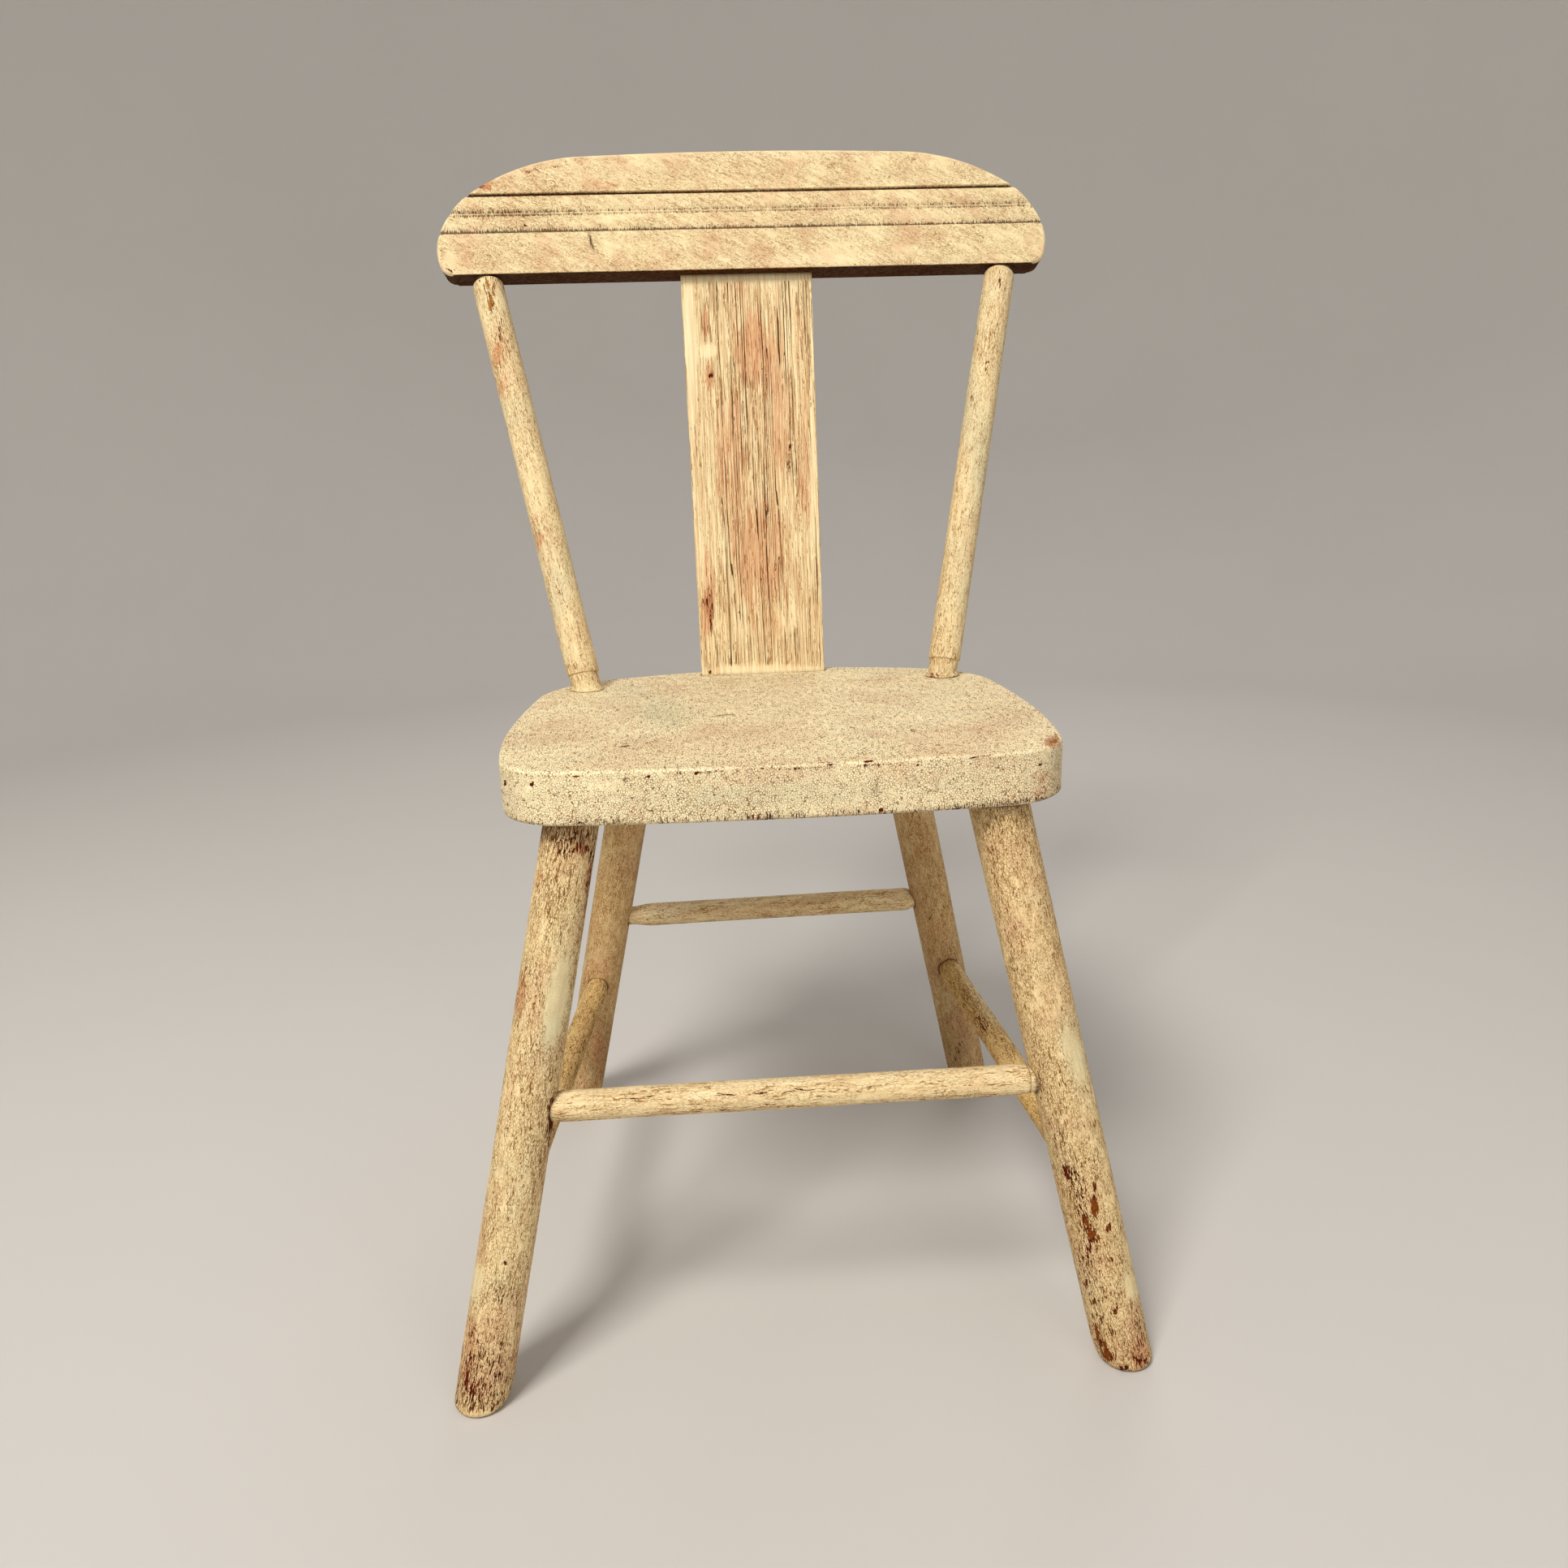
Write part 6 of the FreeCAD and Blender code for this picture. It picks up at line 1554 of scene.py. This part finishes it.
    # painted shadow in the upper groove under the proud band, and the underside darkened almost to the grime
    # colour
    dirt_and_shade = 0.80 * upper_groove_shadow + 0.97 * bottom_v
    left_third = 1 - smooth(-150, -60, X)
    wear = 0.16 + 0.10 * n2 + gv * (0.05 + 0.20 * left_third * smooth(0, 0.6, tickv)) \
        + 0.5 * bottom_v + dabs(co, nf, CREST_DABS["wear"])
    seam_and_shadow = seam_and_shadow * (0.94 + 0.10 * left_third + 0.16 * n2) + 0.10 * left_third * (seam_and_shadow > 0.05)
    pale_and_highlight = pale_and_highlight * (0.8 + 0.5 * n1) + dabs(co, nf, CREST_DABS["pale_and_highlight"])
    hue = 0.35 + 0.5 * n1
    edge_w = np.zeros(len(co))
    edge_w[:nfv] = 1 - smooth(0.0, 3.0, ef)
    wear = wear + 0.05 * edge_w
    dirt_and_shade = dirt_and_shade + dabs(co, nf, CREST_DABS["dirt_and_shade"])
    crk = 0.42 + 0.35 * n2 + dabs(co, nf, CREST_DABS["crk"]) - 0.25 * edge_w
    tone = 0.16 * n3 + dabs(co, nf, CREST_DABS["tone"])
    rub = 0.02 + 0.18 * n1 + dabs(co, nf, CREST_DABS["rub"]) + 0.2 * bottom_v
    return build("crest_rail_painted", co, faces,
                 {"gr": gr, "wear": np.clip(wear, 0, 1), "dirt_and_shade": np.clip(dirt_and_shade, 0, 1),
                  "crk": np.clip(crk, 0, 1), "tone": np.clip(tone, -1, 1),
                  "rub": np.clip(rub, 0, 1), "seam_and_shadow": np.clip(seam_and_shadow, 0, 1),
                  "pale_and_highlight": np.clip(pale_and_highlight, 0, 1), "hue": np.clip(hue, 0, 1)},
                 MAT["crest"], "crest_rail", sharp=42.0)


make_seat()
make_splat()
make_crest()
for k, leg in enumerate(FOOT):
    make_leg(leg, 3 + k)
for k, name in enumerate(RUNGS):
    make_rung(name, 13 + k)
make_post("left", 23)
make_post("right", 24)

# ---------------------------------------------------------------------------
# Brads: dull wire nails set in the back of the rail
# ---------------------------------------------------------------------------
t = Tree("brad_metal")
co = t.node("ShaderNodeTexCoord").outputs["Object"]
n1 = t.noise(co, 900.0, 4.0, 0.6)
n2 = t.noise(co, 2600.0, 3.0, 0.6)
col = t.mix(t.step(n1, 0.38, 0.62), srgb(92, 86, 78), srgb(120, 78, 48))
col = t.mix(t.step(n2, 0.5, 0.7), col, srgb(52, 40, 32))
b = t.node("ShaderNodeBsdfPrincipled")
t.put(b.inputs["Base Color"], col)
t.put(b.inputs["Roughness"], t.step(n1, 0.3, 0.7, 0.42, 0.75))
t.put(b.inputs["Metallic"], t.step(n1, 0.4, 0.6, 0.85, 0.25))
bp = t.node("ShaderNodeBump")
bp.inputs["Distance"].default_value = 0.0002
t.put(bp.inputs["Height"], n2)
t.put(b.inputs["Normal"], bp.outputs[0])
o = t.node("ShaderNodeOutputMaterial")
t.put(o.inputs["Surface"], b.outputs[0])
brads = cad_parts["crest_brads"]
brads.data.materials.clear()
brads.data.materials.append(t.mat)

# ---------------------------------------------------------------------------
# Stage and light
# ---------------------------------------------------------------------------
prof = [(0.0, 0.0)] + [(r, 0.0) for r in (0.3, 0.8, 1.4, 2.0)]
for a in np.linspace(0, 90, 25)[1:]:
    prof.append((2.0 + 1.2 * math.sin(math.radians(a)), 1.2 * (1 - math.cos(math.radians(a)))))
prof += [(3.2, 1.8), (3.2, 2.6), (3.2, 3.4)]
seg = 128
verts, quads = [(0.0, 0.0, 0.0)], []
for r, z in prof[1:]:
    for i in range(seg):
        a = 2 * math.pi * i / seg
        verts.append((r * math.cos(a), r * math.sin(a), z))
faces_ = [(0, 1 + i, 1 + (i + 1) % seg) for i in range(seg)]
for k in range(len(prof) - 2):
    for i in range(seg):
        a, b_ = 1 + k * seg + i, 1 + k * seg + (i + 1) % seg
        faces_.append((a, a + seg, b_ + seg, b_))
me = bpy.data.meshes.new("studio_sweep")
me.from_pydata(verts, [], faces_)
me.update()
me.shade_smooth()
sweep = bpy.data.objects.new("studio_sweep", me)
bpy.context.scene.collection.objects.link(sweep)
t = Tree("studio_paper")
co = t.node("ShaderNodeTexCoord").outputs["Object"]
n1 = t.noise(co, 3.0, 3.0, 0.5)
b = t.node("ShaderNodeBsdfPrincipled")
t.put(b.inputs["Base Color"], t.mix(n1, (0.60, 0.575, 0.545, 1), (0.63, 0.605, 0.575, 1)))
b.inputs["Roughness"].default_value = 0.85
b.inputs["Specular IOR Level"].default_value = 0.2
o = t.node("ShaderNodeOutputMaterial")
t.put(o.inputs["Surface"], b.outputs[0])
me.materials.append(t.mat)

world = bpy.data.worlds.new("studio")
bpy.context.scene.world = world
world.use_nodes = True
bg = world.node_tree.nodes["Background"]
bg.inputs[0].default_value = (1.0, 0.985, 0.965, 1)
bg.inputs[1].default_value = 0.42


def area(name, place, target, size, watts, colour):
    d = bpy.data.lights.new(name, "AREA")
    d.shape = "SQUARE"
    d.size = size
    d.energy = watts
    d.color = colour
    ob = bpy.data.objects.new(name, d)
    bpy.context.scene.collection.objects.link(ob)
    p, q = Vector(place), Vector(target)
    ob.matrix_world = Matrix.Translation(p) @ (q - p).to_track_quat("-Z", "Y").to_matrix().to_4x4()
    return ob


area("key_light", (-0.85, -1.35, 2.20), (0.0, 0.0, 0.33), 0.75, 51.0, (1.0, 0.97, 0.92))
area("fill_light", (0.9, -2.0, 0.75), (0.0, 0.0, 0.3), 1.2, 9.0, (0.99, 0.99, 1.0))
area("back_light", (0.5, 1.8, 1.9), (0.0, 0.1, 0.4), 1.2, 9.0, (1.0, 0.98, 0.96))

scene = bpy.context.scene
scene.view_settings.view_transform = "Standard"
scene.view_settings.look = "None"
scene.view_settings.exposure = 0.0

bpy.context.view_layer.update()
